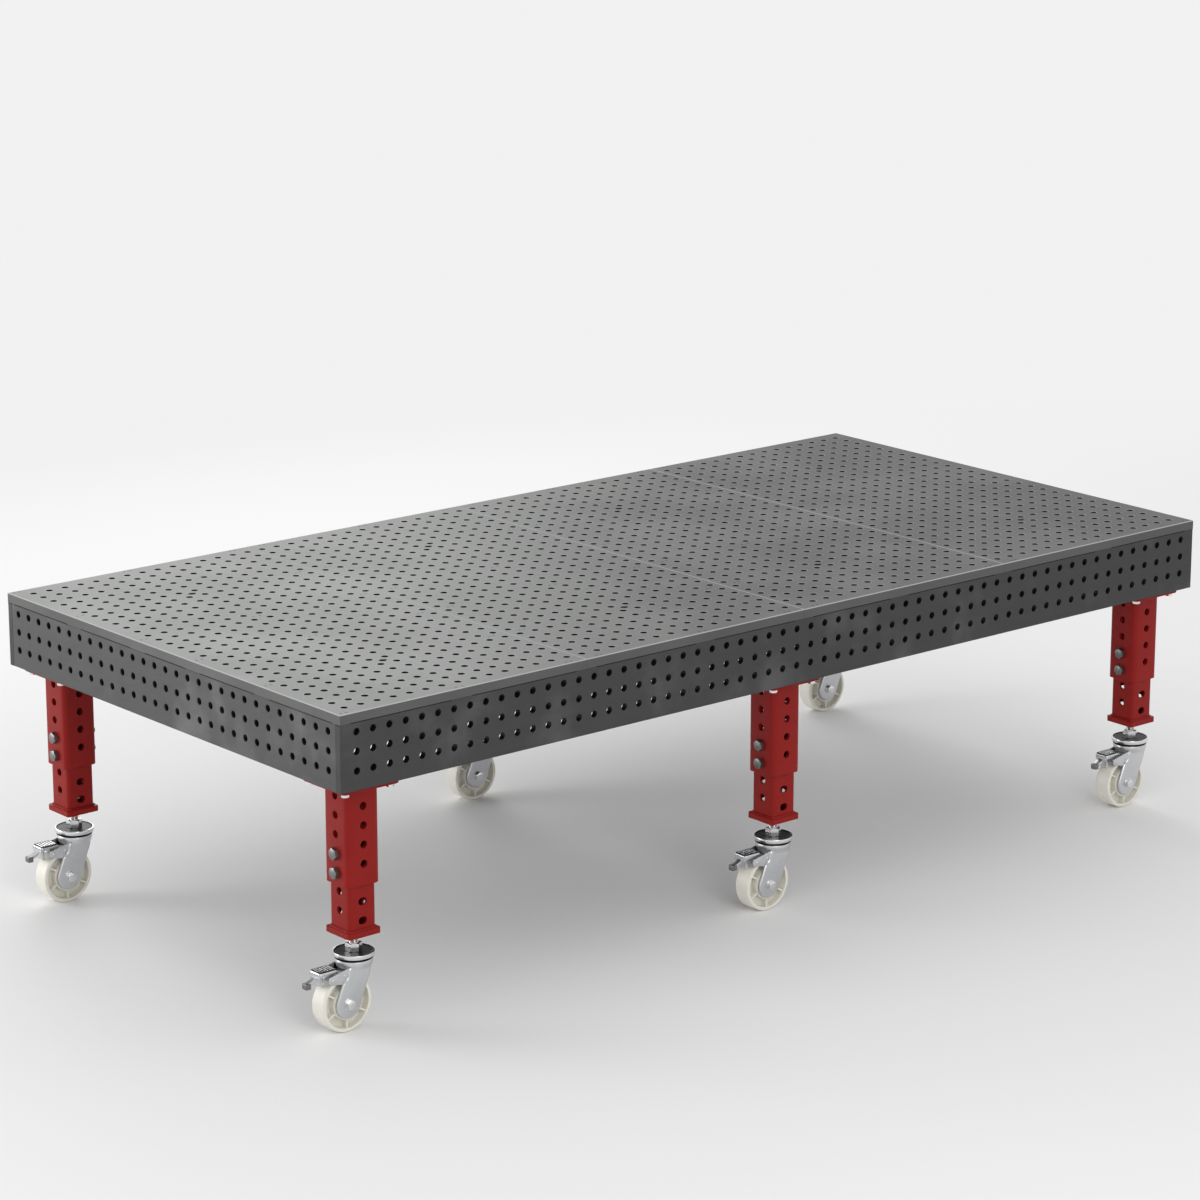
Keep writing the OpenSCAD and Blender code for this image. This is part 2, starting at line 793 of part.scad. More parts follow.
brake_pedal(3);  // brake_pedal_3
brake_pedal(4);  // brake_pedal_4
brake_pedal(5);  // brake_pedal_5
brake_pedal(6);  // brake_pedal_6
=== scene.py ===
"""Welding fixture table on height-adjustable legs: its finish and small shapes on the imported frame."""

import logging
import math
from collections.abc import Sequence
from dataclasses import dataclass
from enum import Enum

import bmesh
import bpy
import numpy as np
from mathutils import Matrix, Vector


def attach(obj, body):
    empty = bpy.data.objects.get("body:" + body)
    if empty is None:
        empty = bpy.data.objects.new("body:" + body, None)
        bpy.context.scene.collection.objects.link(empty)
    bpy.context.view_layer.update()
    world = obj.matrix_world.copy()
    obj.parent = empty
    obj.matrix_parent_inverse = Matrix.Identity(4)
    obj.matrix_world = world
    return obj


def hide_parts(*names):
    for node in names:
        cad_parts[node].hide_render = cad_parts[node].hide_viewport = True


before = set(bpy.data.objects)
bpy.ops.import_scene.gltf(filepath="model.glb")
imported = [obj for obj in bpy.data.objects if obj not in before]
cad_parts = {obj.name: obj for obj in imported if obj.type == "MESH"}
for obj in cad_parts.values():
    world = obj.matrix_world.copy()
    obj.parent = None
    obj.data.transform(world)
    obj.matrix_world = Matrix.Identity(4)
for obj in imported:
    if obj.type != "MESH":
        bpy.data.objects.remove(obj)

LOG = logging.getLogger("fixture_table")
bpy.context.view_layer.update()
MM = 0.001
# The pitch of the fixture holes, and the lattice lines in one pitch of a perforated panel.
PITCH = 50.8 * MM
PER_PITCH = 4
# How far a block's corner is pulled back, each way, from a hole that stands on it.
CORNER_PULL = 9.9 * MM
# Points nearer than this are welded, and an edge bent by more than this angle stays sharp.
WELD = 2e-6
SHARP = math.radians(32.0)
Array = np.ndarray
Triple = tuple[float, float, float]
Span = tuple[float, float]


class Turn(Enum):
    """Ways that a shape made about Z is turned, as the rows of a matrix; LYING swaps Y and Z."""

    UP = ((1, 0, 0), (0, 1, 0), (0, 0, 1))
    FRONT = ((1, 0, 0), (0, 0, -1), (0, 1, 0))
    BACK = ((-1, 0, 0), (0, 0, 1), (0, 1, 0))
    LEFT = ((0, 0, -1), (-1, 0, 0), (0, 1, 0))
    RIGHT = ((0, 0, 1), (1, 0, 0), (0, 1, 0))
    BOLT_LEFT = ((0, 0, -1), (0, 1, 0), (1, 0, 0))
    BOLT_RIGHT = ((0, 0, 1), (0, 1, 0), (-1, 0, 0))
    LYING = ((1, 0, 0), (0, 0, 1), (0, 1, 0))

    def at(self, x: float = 0.0, y: float = 0.0, z: float = 0.0) -> Matrix:
        """The matrix that turns a shape this way, then moves it to a place in metres."""
        return Matrix.Translation((x, y, z)) @ Matrix(self.value).to_4x4()


FLIP = Matrix.Rotation(math.pi, 4, "X")


def spun(angle: float) -> Matrix:
    """A turn about Z by an angle in radians."""
    return Matrix.Rotation(angle, 4, "Z")


class Value:
    """A shader socket that takes part in Python arithmetic; each operator adds one Math node."""

    def __init__(self, graph: "Graph", socket: bpy.types.NodeSocket) -> None:
        """Keeps the socket and the graph that it belongs to."""
        self.graph = graph
        self.socket = socket

    def _math(self, kind: str, *terms: "Value | float") -> "Value":
        """One Math node of the named kind on the given terms."""
        node = self.graph.node("ShaderNodeMath", {"operation": kind}, dict(enumerate(terms)))
        return Value(self.graph, node.outputs[0])

    def __add__(self, other: "Value | float") -> "Value":
        """self + other."""
        return self._math("ADD", self, other)

    def __sub__(self, other: "Value | float") -> "Value":
        """self - other."""
        return self._math("SUBTRACT", self, other)

    def __rsub__(self, other: "Value | float") -> "Value":
        """other - self."""
        return self._math("SUBTRACT", other, self)

    def __mul__(self, other: "Value | float") -> "Value":
        """self * other."""
        return self._math("MULTIPLY", self, other)

    def __truediv__(self, other: "Value | float") -> "Value":
        """self / other."""
        return self._math("DIVIDE", self, other)

    def __rtruediv__(self, other: "Value | float") -> "Value":
        """other / self."""
        return self._math("DIVIDE", other, self)

    def __abs__(self) -> "Value":
        """The absolute value."""
        return self._math("ABSOLUTE", self)

    __radd__ = __add__
    __rmul__ = __mul__

    def least(self, other: "Value | float") -> "Value":
        """The lesser of self and other."""
        return self._math("MINIMUM", self, other)

    def most(self, other: "Value | float") -> "Value":
        """The greater of self and other."""
        return self._math("MAXIMUM", self, other)

    def to_whole(self) -> "Value":
        """The distance to the nearest whole number."""
        return self._math("PINGPONG", self, 0.5)

    def gap(self, marks: Sequence[float]) -> "Value":
        """The distance to the nearest of some marks.

        Args:
            marks: plain numbers on the same scale.

        Returns:
            The distance.
        """
        nearest = abs(self - marks[0])
        for mark in marks[1:]:
            nearest = nearest.least(abs(self - mark))
        return nearest

    def rise(self, span: Span) -> "Value":
        """A smooth step from 0 to 1.

        Args:
            span: the values at which it starts and ends.

        Returns:
            The step.
        """
        inputs = {"Value": self, "From Min": span[0], "From Max": span[1]}
        node = self.graph.node("ShaderNodeMapRange", {"interpolation_type": "SMOOTHSTEP"}, inputs)
        return Value(self.graph, node.outputs[0])

    def fall(self, span: Span) -> "Value":
        """A smooth step from 1 to 0 over a span."""
        return 1.0 - self.rise(span)

    def about(self, middle: float, spread: float) -> "Value":
        """A share from 0 to 1 turned into a range that is spread wide, about a middle."""
        return self * spread + (middle - spread / 2)


@dataclass(frozen=True)
class Grain:
    """Soft noise: its scale per metre, its detail, and its stretch along each axis."""

    scale: float
    detail: float = 3.0
    stretch: Triple = (1.0, 1.0, 1.0)


@dataclass(frozen=True)
class Layer:
    """A colour laid over another, and its share where it is strongest."""

    colour: Triple
    share: float


def rgb(colour: Triple, factor: float = 1.0) -> tuple[float, float, float, float]:
    """A colour made lighter or darker by a factor, with full alpha."""
    return (colour[0] * factor, colour[1] * factor, colour[2] * factor, 1.0)


def grey(level: float) -> tuple[float, float, float, float]:
    """A grey with full alpha."""
    return rgb((level, level, level))


class Graph:
    """The node tree of one material, or of the world."""

    def __init__(self, name: str) -> None:
        """Makes a material with its Principled shader.

        Args:
            name: the material's name.
        """
        self.material = bpy.data.materials.new(name)
        self.material.use_nodes = True
        self.tree = self.material.node_tree
        self.shader = self.tree.nodes["Principled BSDF"]

    @classmethod
    def on(cls, world: bpy.types.World) -> "Graph":
        """The graph of a world.

        Args:
            world: the world, which gets nodes.

        Returns:
            The graph, without a material or a Principled shader.
        """
        graph = cls.__new__(cls)
        world.use_nodes = True
        graph.material, graph.tree, graph.shader = None, world.node_tree, None
        return graph

    def node(self, kind: str, settings: dict, inputs: dict) -> bpy.types.Node:
        """Adds a node.

        Args:
            kind: the node's type name.
            settings: its attributes, which are set first.
            inputs: values or links by socket name or index.

        Returns:
            The new node.
        """
        node = self.tree.nodes.new(kind)
        for key, value in settings.items():
            setattr(node, key, value)
        for key, value in inputs.items():
            self.feed(node.inputs[key], value)
        return node

    def feed(self, socket: bpy.types.NodeSocket, value: "Value | float | Sequence[float]") -> None:
        """Links or sets a socket.

        Args:
            socket: the input socket.
            value: a value to link, or a plain number or colour to set.
        """
        if isinstance(value, Value):
            self.tree.links.new(value.socket, socket)
        else:
            socket.default_value = value

    def place(self, stretch: Triple = (1.0, 1.0, 1.0)) -> Value:
        """Object coordinates.

        Args:
            stretch: a factor along each axis.

        Returns:
            The coordinates.
        """
        coords = self.node("ShaderNodeTexCoord", {}, {})
        inputs = {"Vector": Value(self, coords.outputs["Object"]), "Scale": stretch}
        return Value(self, self.node("ShaderNodeMapping", {}, inputs).outputs[0])

    def axes(self) -> tuple[Value, Value, Value]:
        """The three Object coordinates as separate values."""
        node = self.node("ShaderNodeSeparateXYZ", {}, {"Vector": self.place()})
        return tuple(Value(self, socket) for socket in node.outputs)

    def noise(self, grain: Grain) -> Value:
        """Soft noise on Object coordinates, from 0 to 1."""
        inputs = {"Vector": self.place(grain.stretch), "Scale": grain.scale, "Detail": grain.detail}
        return Value(self, self.node("ShaderNodeTexNoise", {}, inputs).outputs["Fac"])

    def mix(self, share: Value, low: "Value | Sequence[float]", high: "Value | Sequence[float]") -> Value:
        """A colour between low and high."""
        node = self.node("ShaderNodeMix", {"data_type": "RGBA"}, {0: share, 6: low, 7: high})
        return Value(self, node.outputs[2])

    def shade(self, share: Value, colour: Triple, factors: Span) -> Value:
        """A colour whose brightness goes between two factors of its own."""
        return self.mix(share, rgb(colour, factors[0]), rgb(colour, factors[1]))

    def lay(self, base: Value, mask: Value, layer: Layer) -> Value:
        """A base colour with a layer over it where the mask is 1."""
        return self.mix(mask * layer.share, base, rgb(layer.colour))

    def bump(self, height: Value, strength: float, reach: float) -> Value:
        """A bumped normal from a height value."""
        inputs = {"Height": height, "Strength": strength, "Distance": reach}
        return Value(self, self.node("ShaderNodeBump", {}, inputs).outputs[0])

    def finish(self, **sockets: "Value | float | Sequence[float]") -> bpy.types.Material:
        """Sets the shader's sockets.

        Args:
            sockets: values or links by socket name, with underscores for spaces.

        Returns:
            The material.
        """
        for key, value in sockets.items():
            self.feed(self.shader.inputs[key.replace("_", " ")], value)
        return self.material


@dataclass(frozen=True)
class GroundSteel:
    """Ground top plates: cloudy satin steel with faint streaks, and dark dowel marks over the ribs.

    Rows, columns and the middle seam are counted in pitches from the table's centre. The spans of the marks,
    of hole_rim and of bore are squared pitches from their middle, and seam is in pitches. The other spans,
    but for the cloud's, are metres from the table's outer edge or below its top. The pale layer on the seams,
    the outer bevel and the hole lips is edge wear with painted highlight; the bores, the underside and the
    seam faces below the ground face are painted dark as shade.
    """

    colour: Triple = (0.235, 0.24, 0.234)
    shades: Span = (0.82, 1.14)
    metallic: float = 0.8
    roughness: float = 0.40
    roughness_spread: float = 0.2
    tint: float = 0.45
    cloud: Grain = Grain(3.2, 4.0)
    cloud_span: Span = (0.34, 0.66)
    streak: Grain = Grain(30.0, 3.0, (0.22, 1.6, 1.0))
    fine: Grain = Grain(260.0, 2.0, (0.5, 1.0, 1.0))
    tone_shares: Triple = (0.5, 0.3, 0.2)
    relief_shares: Span = (0.4, 0.6)
    dowel_mark: Layer = Layer((0.03, 0.03, 0.03), 0.75)
    # Pale edge wear with painted highlight on the bevels, seams and hole lips.
    edge_wear_and_highlight: Layer = Layer((0.52, 0.53, 0.53), 0.85)
    # Painted shade in the bores, under the plate and on the seam faces.
    painted_bore_shade: Layer = Layer((0.022, 0.022, 0.021), 0.92)
    dark_flank: Layer = Layer((0.02, 0.02, 0.019), 0.52)
    lip_highlight_share: float = 0.9
    rows: tuple[float, ...] = (2.5, 8.5, 14.75)
    columns: tuple[float, ...] = (29.92, 30.25, 16.15, 15.85, 14.15, 13.85, 1.15, 0.85, 22.8, 23.2, 7.2, 6.8)
    middle_seam: float = 15.0
    mark_span: Span = (0.003, 0.0062)
    hole_rim: Span = (0.0465, 0.050)
    bore: Span = (0.0375, 0.0398)
    seam: Span = (0.03, 0.045)
    edge: Span = (0.0022, 0.003)
    flank: Span = (0.0004, 0.0012)
    holes_from: Span = (0.018, 0.022)
    rim_depth: Span = (0.001, 0.0014)
    crest_depth: Span = (0.0016, 0.0028)
    bore_depth: Span = (0.001, 0.0018)
    inside_depth: Span = (0.0002, 0.0006)
    flank_depth: Span = (0.0014, 0.0024)

    def material(self, name: str, table: "TableSizes") -> bpy.types.Material:
        """Builds the finish.

        Args:
            name: the material's name.
            table: the table's sizes.

        Returns:
            The material.
        """
        g = Graph(name)
        x, y, z = g.axes()
        cloud = g.noise(self.cloud).rise(self.cloud_span)
        streak, fine = g.noise(self.streak), g.noise(self.fine)
        a, b, c = self.tone_shares
        tone = cloud * a + streak * b + fine * c
        base = g.shade(tone, self.colour, self.shades)
        off_x = x - table.centre_x
        across, along = abs(off_x / PITCH), abs(y / PITCH)
        gap_x, gap_y = across.gap(self.columns), along.gap(self.rows)
        base = g.lay(base, (gap_x * gap_x + gap_y * gap_y).fall(self.mark_span), self.dowel_mark)
        depth = table.height - z
        rim = (table.half_l - abs(off_x)).least(table.half_w - abs(y))
        hole_x, hole_y = 0.5 - across.to_whole(), along.to_whole()
        hole = hole_x * hole_x + hole_y * hole_y
        holed = rim.rise(self.holes_from)
        # Painted highlight: a pale ring round each hole's chamfered lip.
        lip_highlight = hole.fall(self.hole_rim) * depth.fall(self.rim_depth) * holed * self.lip_highlight_share
        crest = depth.fall(self.crest_depth)
        seam = abs(across - self.middle_seam).least(across)
        # Pale layer on the seams, the outer bevel and the hole lips: edge wear with painted highlight.
        wear_and_highlight = (seam.fall(self.seam) * crest).most(rim.fall(self.edge) * crest).most(lip_highlight)
        base = g.lay(base, wear_and_highlight, self.edge_wear_and_highlight)
        # Painted shade: the bores, the plate's underside and the seam faces are painted dark.
        inside = hole.fall(self.bore) * depth.rise(self.inside_depth)
        base = g.lay(base, holed * depth.rise(self.bore_depth).most(inside), self.painted_bore_shade)
        base = g.lay(base, rim.fall(self.flank) * depth.rise(self.flank_depth), self.dark_flank)
        fine_share, streak_share = self.relief_shares
        return g.finish(
            Base_Color=base,
            Metallic=self.metallic,
            Roughness=tone.about(self.roughness, self.roughness_spread),
            Specular_Tint=grey(self.tint),
            Normal=g.bump(fine * fine_share + streak * streak_share, strength=0.12, reach=0.0006),
        )


@dataclass(frozen=True)
class MillSteel:
    """Side plates and ribs: dark plate with pale rubbed clouds and faint scratches.

    Faces set in from the table's outer faces, past the span given as inner in metres, are painted dark as
    shade.
    """

    colour: Triple = (0.065, 0.065, 0.0655)
    dark: float = 0.86
    pale: float = 1.9
    metallic: float = 0.6
    roughness: float = 0.46
    roughness_spread: float = 0.18
    tint: float = 0.5
    gloss: float = 0.25
    cloud: Grain = Grain(5.5, 5.0)
    cloud_span: Span = (0.5, 0.78)
    streak: Grain = Grain(42.0, 3.0, (0.3, 0.3, 1.5))
    fine: Grain = Grain(300.0, 2.0)
    tone_shares: Triple = (0.6, 0.25, 0.15)
    painted_inside_shade: Layer = Layer((0.018, 0.018, 0.018), 0.8)
    inner: Span = (0.0012, 0.0022)

    def material(self, name: str, table: "TableSizes") -> bpy.types.Material:
        """Builds the finish.

        Args:
            name: the material's name.
            table: the table's sizes.

        Returns:
            The material.
        """
        g = Graph(name)
        x, y, _ = g.axes()
        cloud = g.noise(self.cloud).rise(self.cloud_span)
        streak, fine = g.noise(self.streak), g.noise(self.fine)
        a, b, c = self.tone_shares
        base = g.shade(cloud * a + streak * b + fine * c, self.colour, (self.dark, self.pale))
        # Painted shade: faces set in from the table's outer faces are darkened.
        depth = (table.half_l - abs(x - table.centre_x)).least(table.half_w - abs(y))
        return g.finish(
            Base_Color=g.lay(base, depth.rise(self.inner), self.painted_inside_shade),
            Metallic=self.metallic,
            Specular_Tint=grey(self.tint),
            Specular_IOR_Level=self.gloss,
            Roughness=streak.about(self.roughness, self.roughness_spread),
            Normal=g.bump(fine * 0.5 + streak * 0.5, strength=0.14, reach=0.0006),
        )


@dataclass(frozen=True)
class PowderCoat:
    """Painted legs: even colour with orange-peel relief and a little dust."""

    colour: Triple = (0.245, 0.0085, 0.0065)
    shades: Span = (0.88, 1.12)
    roughness: float = 0.42
    roughness_spread: float = 0.14
    gloss: float = 0.16
    peel: Grain = Grain(420.0, 2.0)
    dust: Grain = Grain(14.0)

    def material(self, name: str) -> bpy.types.Material:
        """Builds the finish.

        Args:
            name: the material's name.

        Returns:
            The material.
        """
        g = Graph(name)
        peel, dust = g.noise(self.peel), g.noise(self.dust)
        return g.finish(
            Base_Color=g.shade(dust, self.colour, self.shades),
            Roughness=dust.about(self.roughness, self.roughness_spread),
            Specular_IOR_Level=self.gloss,
            Normal=g.bump(peel, strength=0.16, reach=0.0007),
        )


@dataclass(frozen=True)
class Plated:
    """Zinc plated steel: silver with soft spangle and fine pressing marks."""

    colour: Triple = (0.60, 0.61, 0.625)
    metallic: float = 0.9
    roughness: float = 0.3
    roughness_spread: float = 0.16
    spread: float = 0.12
    fine: Grain = Grain(320.0)
    spangle: Grain = Grain(70.0, 2.0)
    cloud: Grain = Grain(16.0)
    spangle_share: float = 0.35
    cloud_share: float = 0.65

    def material(self, name: str) -> bpy.types.Material:
        """Builds the finish.

        Args:
            name: the material's name.

        Returns:
            The material.
        """
        g = Graph(name)
        fine = g.noise(self.fine)
        tone = g.noise(self.spangle) * self.spangle_share + g.noise(self.cloud) * self.cloud_share
        return g.finish(
            Base_Color=g.shade(tone, self.colour, (1.0 - self.spread, 1.0 + self.spread)),
            Metallic=self.metallic,
            Roughness=tone.about(self.roughness, self.roughness_spread),
            Normal=g.bump(fine, strength=0.08, reach=0.0005),
        )


@dataclass(frozen=True)
class Moulded:
    """Moulded plastic or rubber: fine grain, slight clouding and scuffs."""

    colour: Triple
    roughness: float
    roughness_spread: float = 0.2
    scuff: float = 0.08
    gloss: float = 0.5
    cloud: Grain = Grain(26.0, 4.0)
    fine: Grain = Grain(520.0, 2.0)

    def material(self, name: str) -> bpy.types.Material:
        """Builds the finish.

        Args:
            name: the material's name.

        Returns:
            The material.
        """
        g = Graph(name)
        cloud, fine = g.noise(self.cloud), g.noise(self.fine)
        return g.finish(
            Base_Color=g.shade(cloud, self.colour, (1.0 - self.scuff, 1.0 + self.scuff)),
            Roughness=cloud.about(self.roughness, self.roughness_spread),
            Specular_IOR_Level=self.gloss,
            Normal=g.bump(fine, strength=0.1, reach=0.0005),
        )


class Shape:
    """Gathers grids, rings and flat faces of points, welds them and makes one mesh object."""

    def __init__(self) -> None:
        """Starts with no points and no faces."""
        self.points: list[Array] = []
        self.faces: list[Array] = []
        self.count = 0

    def add(self, points: Array, faces: Array) -> None:
        """Adds points and faces.

        Args:
            points: array of shape (..., 3).
            faces: faces of one corner count, which number those points.
        """
        self.points.append(points.reshape(-1, 3))
        self.faces.append(faces + self.count)
        self.count += len(self.points[-1])

    def grid(self, points: Array, wrap: bool = False) -> None:
        """Adds quads between neighbours on the last two axes of a block of grids.

        Args:
            points: array of shape (..., rows, columns, 3).
            wrap: joins the last column to the first.
        """
        rows, cols = points.shape[-3:-1]
        index = np.arange(points.size // 3).reshape(-1, rows, cols)
        if wrap:
            index = np.concatenate([index, index[..., :1]], axis=2)
        quads = np.stack([index[:, :-1, :-1], index[:, :-1, 1:],
                          index[:, 1:, 1:], index[:, 1:, :-1]], axis=-1)
        self.add(points, quads.reshape(-1, 4))

    def face(self, ring: Array) -> None:
        """Adds one flat face of many corners."""
        self.add(ring, np.arange(len(ring)).reshape(1, -1))

    def tube(self, rings: Array) -> None:
        """Adds a wall through closed rings, and its flat ends.

        Args:
            rings: array of shape (rings, points, 3).
        """
        self.grid(rings, wrap=True)
        self.face(rings[0][::-1])
        self.face(rings[-1])

    def join(self, other: "Shape") -> None:
        """Takes over the points and faces of another shape.

        Args:
            other: the other shape.
        """
        for faces in other.faces:
            self.faces.append(faces + self.count)
        self.points.extend(other.points)
        self.count += other.count

    def moved(self, matrix: Matrix) -> "Shape":
        """A moved copy of the shape.

        Args:
            matrix: the turn and the move.

        Returns:
            The copy.
        """
        turn = np.array(matrix.to_3x3())
        shift = np.array(matrix.translation)
        copy = Shape()
        copy.points = [p @ turn.T + shift for p in self.points]
        copy.faces = list(self.faces)
        copy.count = self.count
        return copy

    def welded(self) -> tuple[Array, list[list[int]]]:
        """Welds equal points and drops the faces that this empties.

        Returns:
            The points, and the faces as lists of point numbers.
        """
        points = np.concatenate(self.points)
        _, first, back = np.unique(np.round(points / WELD).astype(np.int64), axis=0,
                                   return_index=True, return_inverse=True)
        back = back.reshape(-1)
        faces: list[list[int]] = []
        for block in self.faces:
            corners = back[block]
            repeat = corners == np.roll(corners, -1, axis=1)
            faces.extend(corners[~repeat.any(axis=1)].tolist())
            if block.shape[1] == 4:
                bent = repeat.sum(axis=1) == 1
                faces.extend(corners[bent][~repeat[bent]].reshape(-1, 3).tolist())
        return points[first], faces

    def build(self, name: str, material: bpy.types.Material, body: str, slot: str,
              replaces: Sequence[str] = ()) -> None:
        """Makes the object, with its faces turned outwards and shaded smooth up to the sharp angle.

        Args:
            name: the piece's name.
            material: its finish.
            body: the body that it rides on.
            slot: the record's material slot; not used.
            replaces: the nodes that it stands for.
        """
        points, faces = self.welded()
        mesh = bpy.data.meshes.new(name)
        mesh.from_pydata(points.tolist(), [], faces)
        work = bmesh.new()
        work.from_mesh(mesh)
        bmesh.ops.recalc_face_normals(work, faces=work.faces)
        work.to_mesh(mesh)
        work.free()
        mesh.shade_smooth()
        mesh.set_sharp_from_angle(angle=SHARP)
        mesh.materials.append(material)
        obj = bpy.data.objects.new(name, mesh)
        bpy.context.scene.collection.objects.link(obj)
        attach(obj, body)
        if replaces:
            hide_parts(*replaces)
        LOG.info("%s: %d faces on %s", name, len(faces), body)


def metres(*points: Sequence[float]) -> Array:
    """Points given in millimetres, as an array in metres."""
    return np.array(points) * MM


def above(level: float, *points: Sequence[float]) -> Array:
    """Profile points in metres: radius and height in millimetres, above a level in metres."""
    return metres(*points) + np.array([0.0, level])


def on_circle(angles: Array) -> Array:
    """Points (cos a, sin a) of the unit circle."""
    return np.stack([np.cos(angles), np.sin(angles)], axis=-1)


def around(count: int) -> Array:
    """Equal angles round a full turn."""
    return np.arange(count) * 2.0 * np.pi / count


def at_height(flat: Array, height: "float | Array") -> Array:
    """2-D points with a third coordinate: one height, or one for each."""
    return np.concatenate([flat, np.broadcast_to(height, flat.shape[:-1])[..., None]], axis=-1)


def lathe(profile: Sequence[Sequence[float]], count: int, closed: bool = False) -> Shape:
    """A surface of revolution about Z: (r cos a, r sin a, h) for each (r, h) of a profile.

    Args:
        profile: points from one end to the other; a radius of 0 closes the end.
        count: points round the axis.
        closed: joins the profile's end to its start, for a ring.

    Returns:
        The shape.
    """
    line = np.array(list(profile) + ([profile[0]] if closed else []))
    shape = Shape()
    shape.grid(at_height(line[:, None, :1] * on_circle(around(count)), line[:, 1:]), wrap=True)
    return shape


def rod(radius: float, low: float, high: float, count: int = 40) -> Shape:
    """A plain round bar about Z, from low to high."""
    return lathe([(0, low), (radius, low), (radius, high), (0, high)], count)


def washer(radius: float, thick: float, count: int = 40) -> Shape:
    """A washer on z = 0, its upper edge broken by 0.4 mm; sizes in millimetres."""
    flat, low = radius - 0.4, thick - 0.4
    return lathe(metres((0, 0), (radius, 0), (radius, low), (flat, thick), (0, thick)), count)


def inset(outline: Array, depth: float) -> Array:
    """An outline moved inwards along the mean of each point's two side normals.

    Args:
        outline: 2-D points, counter-clockwise.
        depth: how far the sides move.

    Returns:
        The moved outline.
    """
    before = outline - np.roll(outline, 1, axis=0)
    after = np.roll(outline, -1, axis=0) - outline
    before /= np.linalg.norm(before, axis=1, keepdims=True)
    after /= np.linalg.norm(after, axis=1, keepdims=True)
    normal = np.stack([-(before + after)[:, 1], (before + after)[:, 0]], axis=1)
    normal /= np.linalg.norm(normal, axis=1, keepdims=True)
    side = np.stack([-before[:, 1], before[:, 0]], axis=1)
    stretch = np.clip((normal * side).sum(axis=1, keepdims=True), 0.35, 1.0)
    return outline + normal * depth / stretch


def slab(outline: Array, low: float, high: float, edge: float, brow: float | None = None) -> Shape:
    """A flat plate from an outline, counter-clockwise, with its edges rounded.

    The upper edge is a quarter round: inset = brow (1 - cos t), height = high - brow (1 - sin t).

    Args:
        outline: 2-D points in X and Y.
        low: the lower face's height.
        high: the upper face's height.
        edge: the rounding of the lower edge.
        brow: the rounding of the upper edge, equal to edge if not given.

    Returns:
        The shape.
    """
    brow = edge if brow is None else brow
    t = np.linspace(0.0, np.pi / 2, 5)
    steps = [(low, edge), (low + 0.3 * edge, 0.3 * edge), (low + edge, 0.0)]
    steps += list(zip(high - brow * (1 - np.sin(t)), brow * (1 - np.cos(t))))
    shape = Shape()
    shape.tube(np.array([at_height(inset(outline, depth) if depth else outline, z) for z, depth in steps]))
    return shape


def rounded(width: float, depth: float, radius: float, steps: int = 6) -> Array:
    """The outline of a rectangle with round corners, counter-clockwise, about the origin.

    Args:
        width: its size in X.
        depth: its size in Y.
        radius: its corners' radius.
        steps: the straight pieces in a corner.

    Returns:
        The 2-D points.
    """
    a = np.linspace(0.0, np.pi / 2, steps + 1)
    parts = []
    for quarter, (x, y) in enumerate(((1, 1), (-1, 1), (-1, -1), (1, -1))):
        centre = np.array([x * (width / 2 - radius), y * (depth / 2 - radius)])
        parts.append(centre + radius * on_circle(a + quarter * np.pi / 2))
    return np.concatenate(parts)


def soft_corners(points: Array, reach: float = 3.0 * MM) -> Array:
    """An open run of points with a short parabola, (1-t)² p + 2t(1-t) corner + t² q, in each inner corner.

    Args:
        points: 2-D points.
        reach: how far p and q lie from the corner.

    Returns:
        The new run.
    """
    before, here, after = points[:-2], points[1:-1], points[2:]
    ends = []
    for side in (before - here, after - here):
        length = np.linalg.norm(side, axis=1, keepdims=True)
        ends.append((here + side * np.minimum(reach / length, 0.45))[:, None])
    t = np.linspace(0, 1, 5)[None, :, None]
    bend = (1 - t) ** 2 * ends[0] + 2 * t * (1 - t) * here[:, None] + t ** 2 * ends[1]
    return np.concatenate([points[:1], bend.reshape(-1, 2), points[-1:]])


@dataclass(frozen=True)
class Holes:
    """Holes of one kind in a perforated panel; across and along are lattice indices of their centres."""

    across: Array
    along: Array
    radius: float
    stretch: float = 0.0
    chamfer: float = 1.0 * MM
    at_corner: bool = False

    def centres(self, us: Array, vs: Array) -> Array:
        """The holes' centres on the lattice, in an array of shape (holes, 1, 2)."""
        return np.stack([us[self.across], vs[self.along]], axis=-1)[:, None, :]


def add_blocks(shape: Shape, us: Array, vs: Array, kind: Holes, corners: Sequence[Holes],
               thickness: float) -> None:
    """Adds a block of four by four lattice cells round each hole.

    The block's sixteen border points run inwards to a chamfered rim, r = radius + chamfer at the face and
    radius below it, and down the bore to the other face.

    Args:
        shape: the panel.
        us: lattice lines along U.
        vs: lattice lines along V.
        kind: the holes.
        corners: holes on the blocks' corners; those corners are pulled back to make room for them.
        thickness: the panel's thickness.
    """
    steps = np.array([[-2, -2], [-1, -2], [0, -2], [1, -2], [2, -2], [2, -1], [2, 0], [2, 1],
                      [2, 2], [1, 2], [0, 2], [-1, 2], [-2, 2], [-2, 1], [-2, 0], [-2, -1]])
    circle = on_circle((np.arange(16) - 6) * np.pi / 8)
    index = np.stack([kind.across, kind.along], axis=-1)[:, None] + steps
    border = np.stack([us[index[..., 0]], vs[index[..., 1]]], axis=-1)
    for corner in corners:
        for k in (0, 4, 8, 12):
            at_u, at_v = index[:, k, None, 0] == corner.across, index[:, k, None, 1] == corner.along
            border[(at_u & at_v).any(axis=1), k] -= np.sign(steps[k]) * CORNER_PULL
    centre = kind.centres(us, vs)
    slot = np.sign(np.round(circle[:, :1], 6)) * np.array([kind.stretch, 0.0])
    wide = centre + (kind.radius + kind.chamfer) * circle + slot
    bore = centre + kind.radius * circle + slot
    layers = ((border, 0.0), (wide, 0.0), (bore, -kind.chamfer), (bore, -thickness), (border, -thickness))
    shape.grid(np.stack([at_height(flat, w) for flat, w in layers], axis=1), wrap=True)


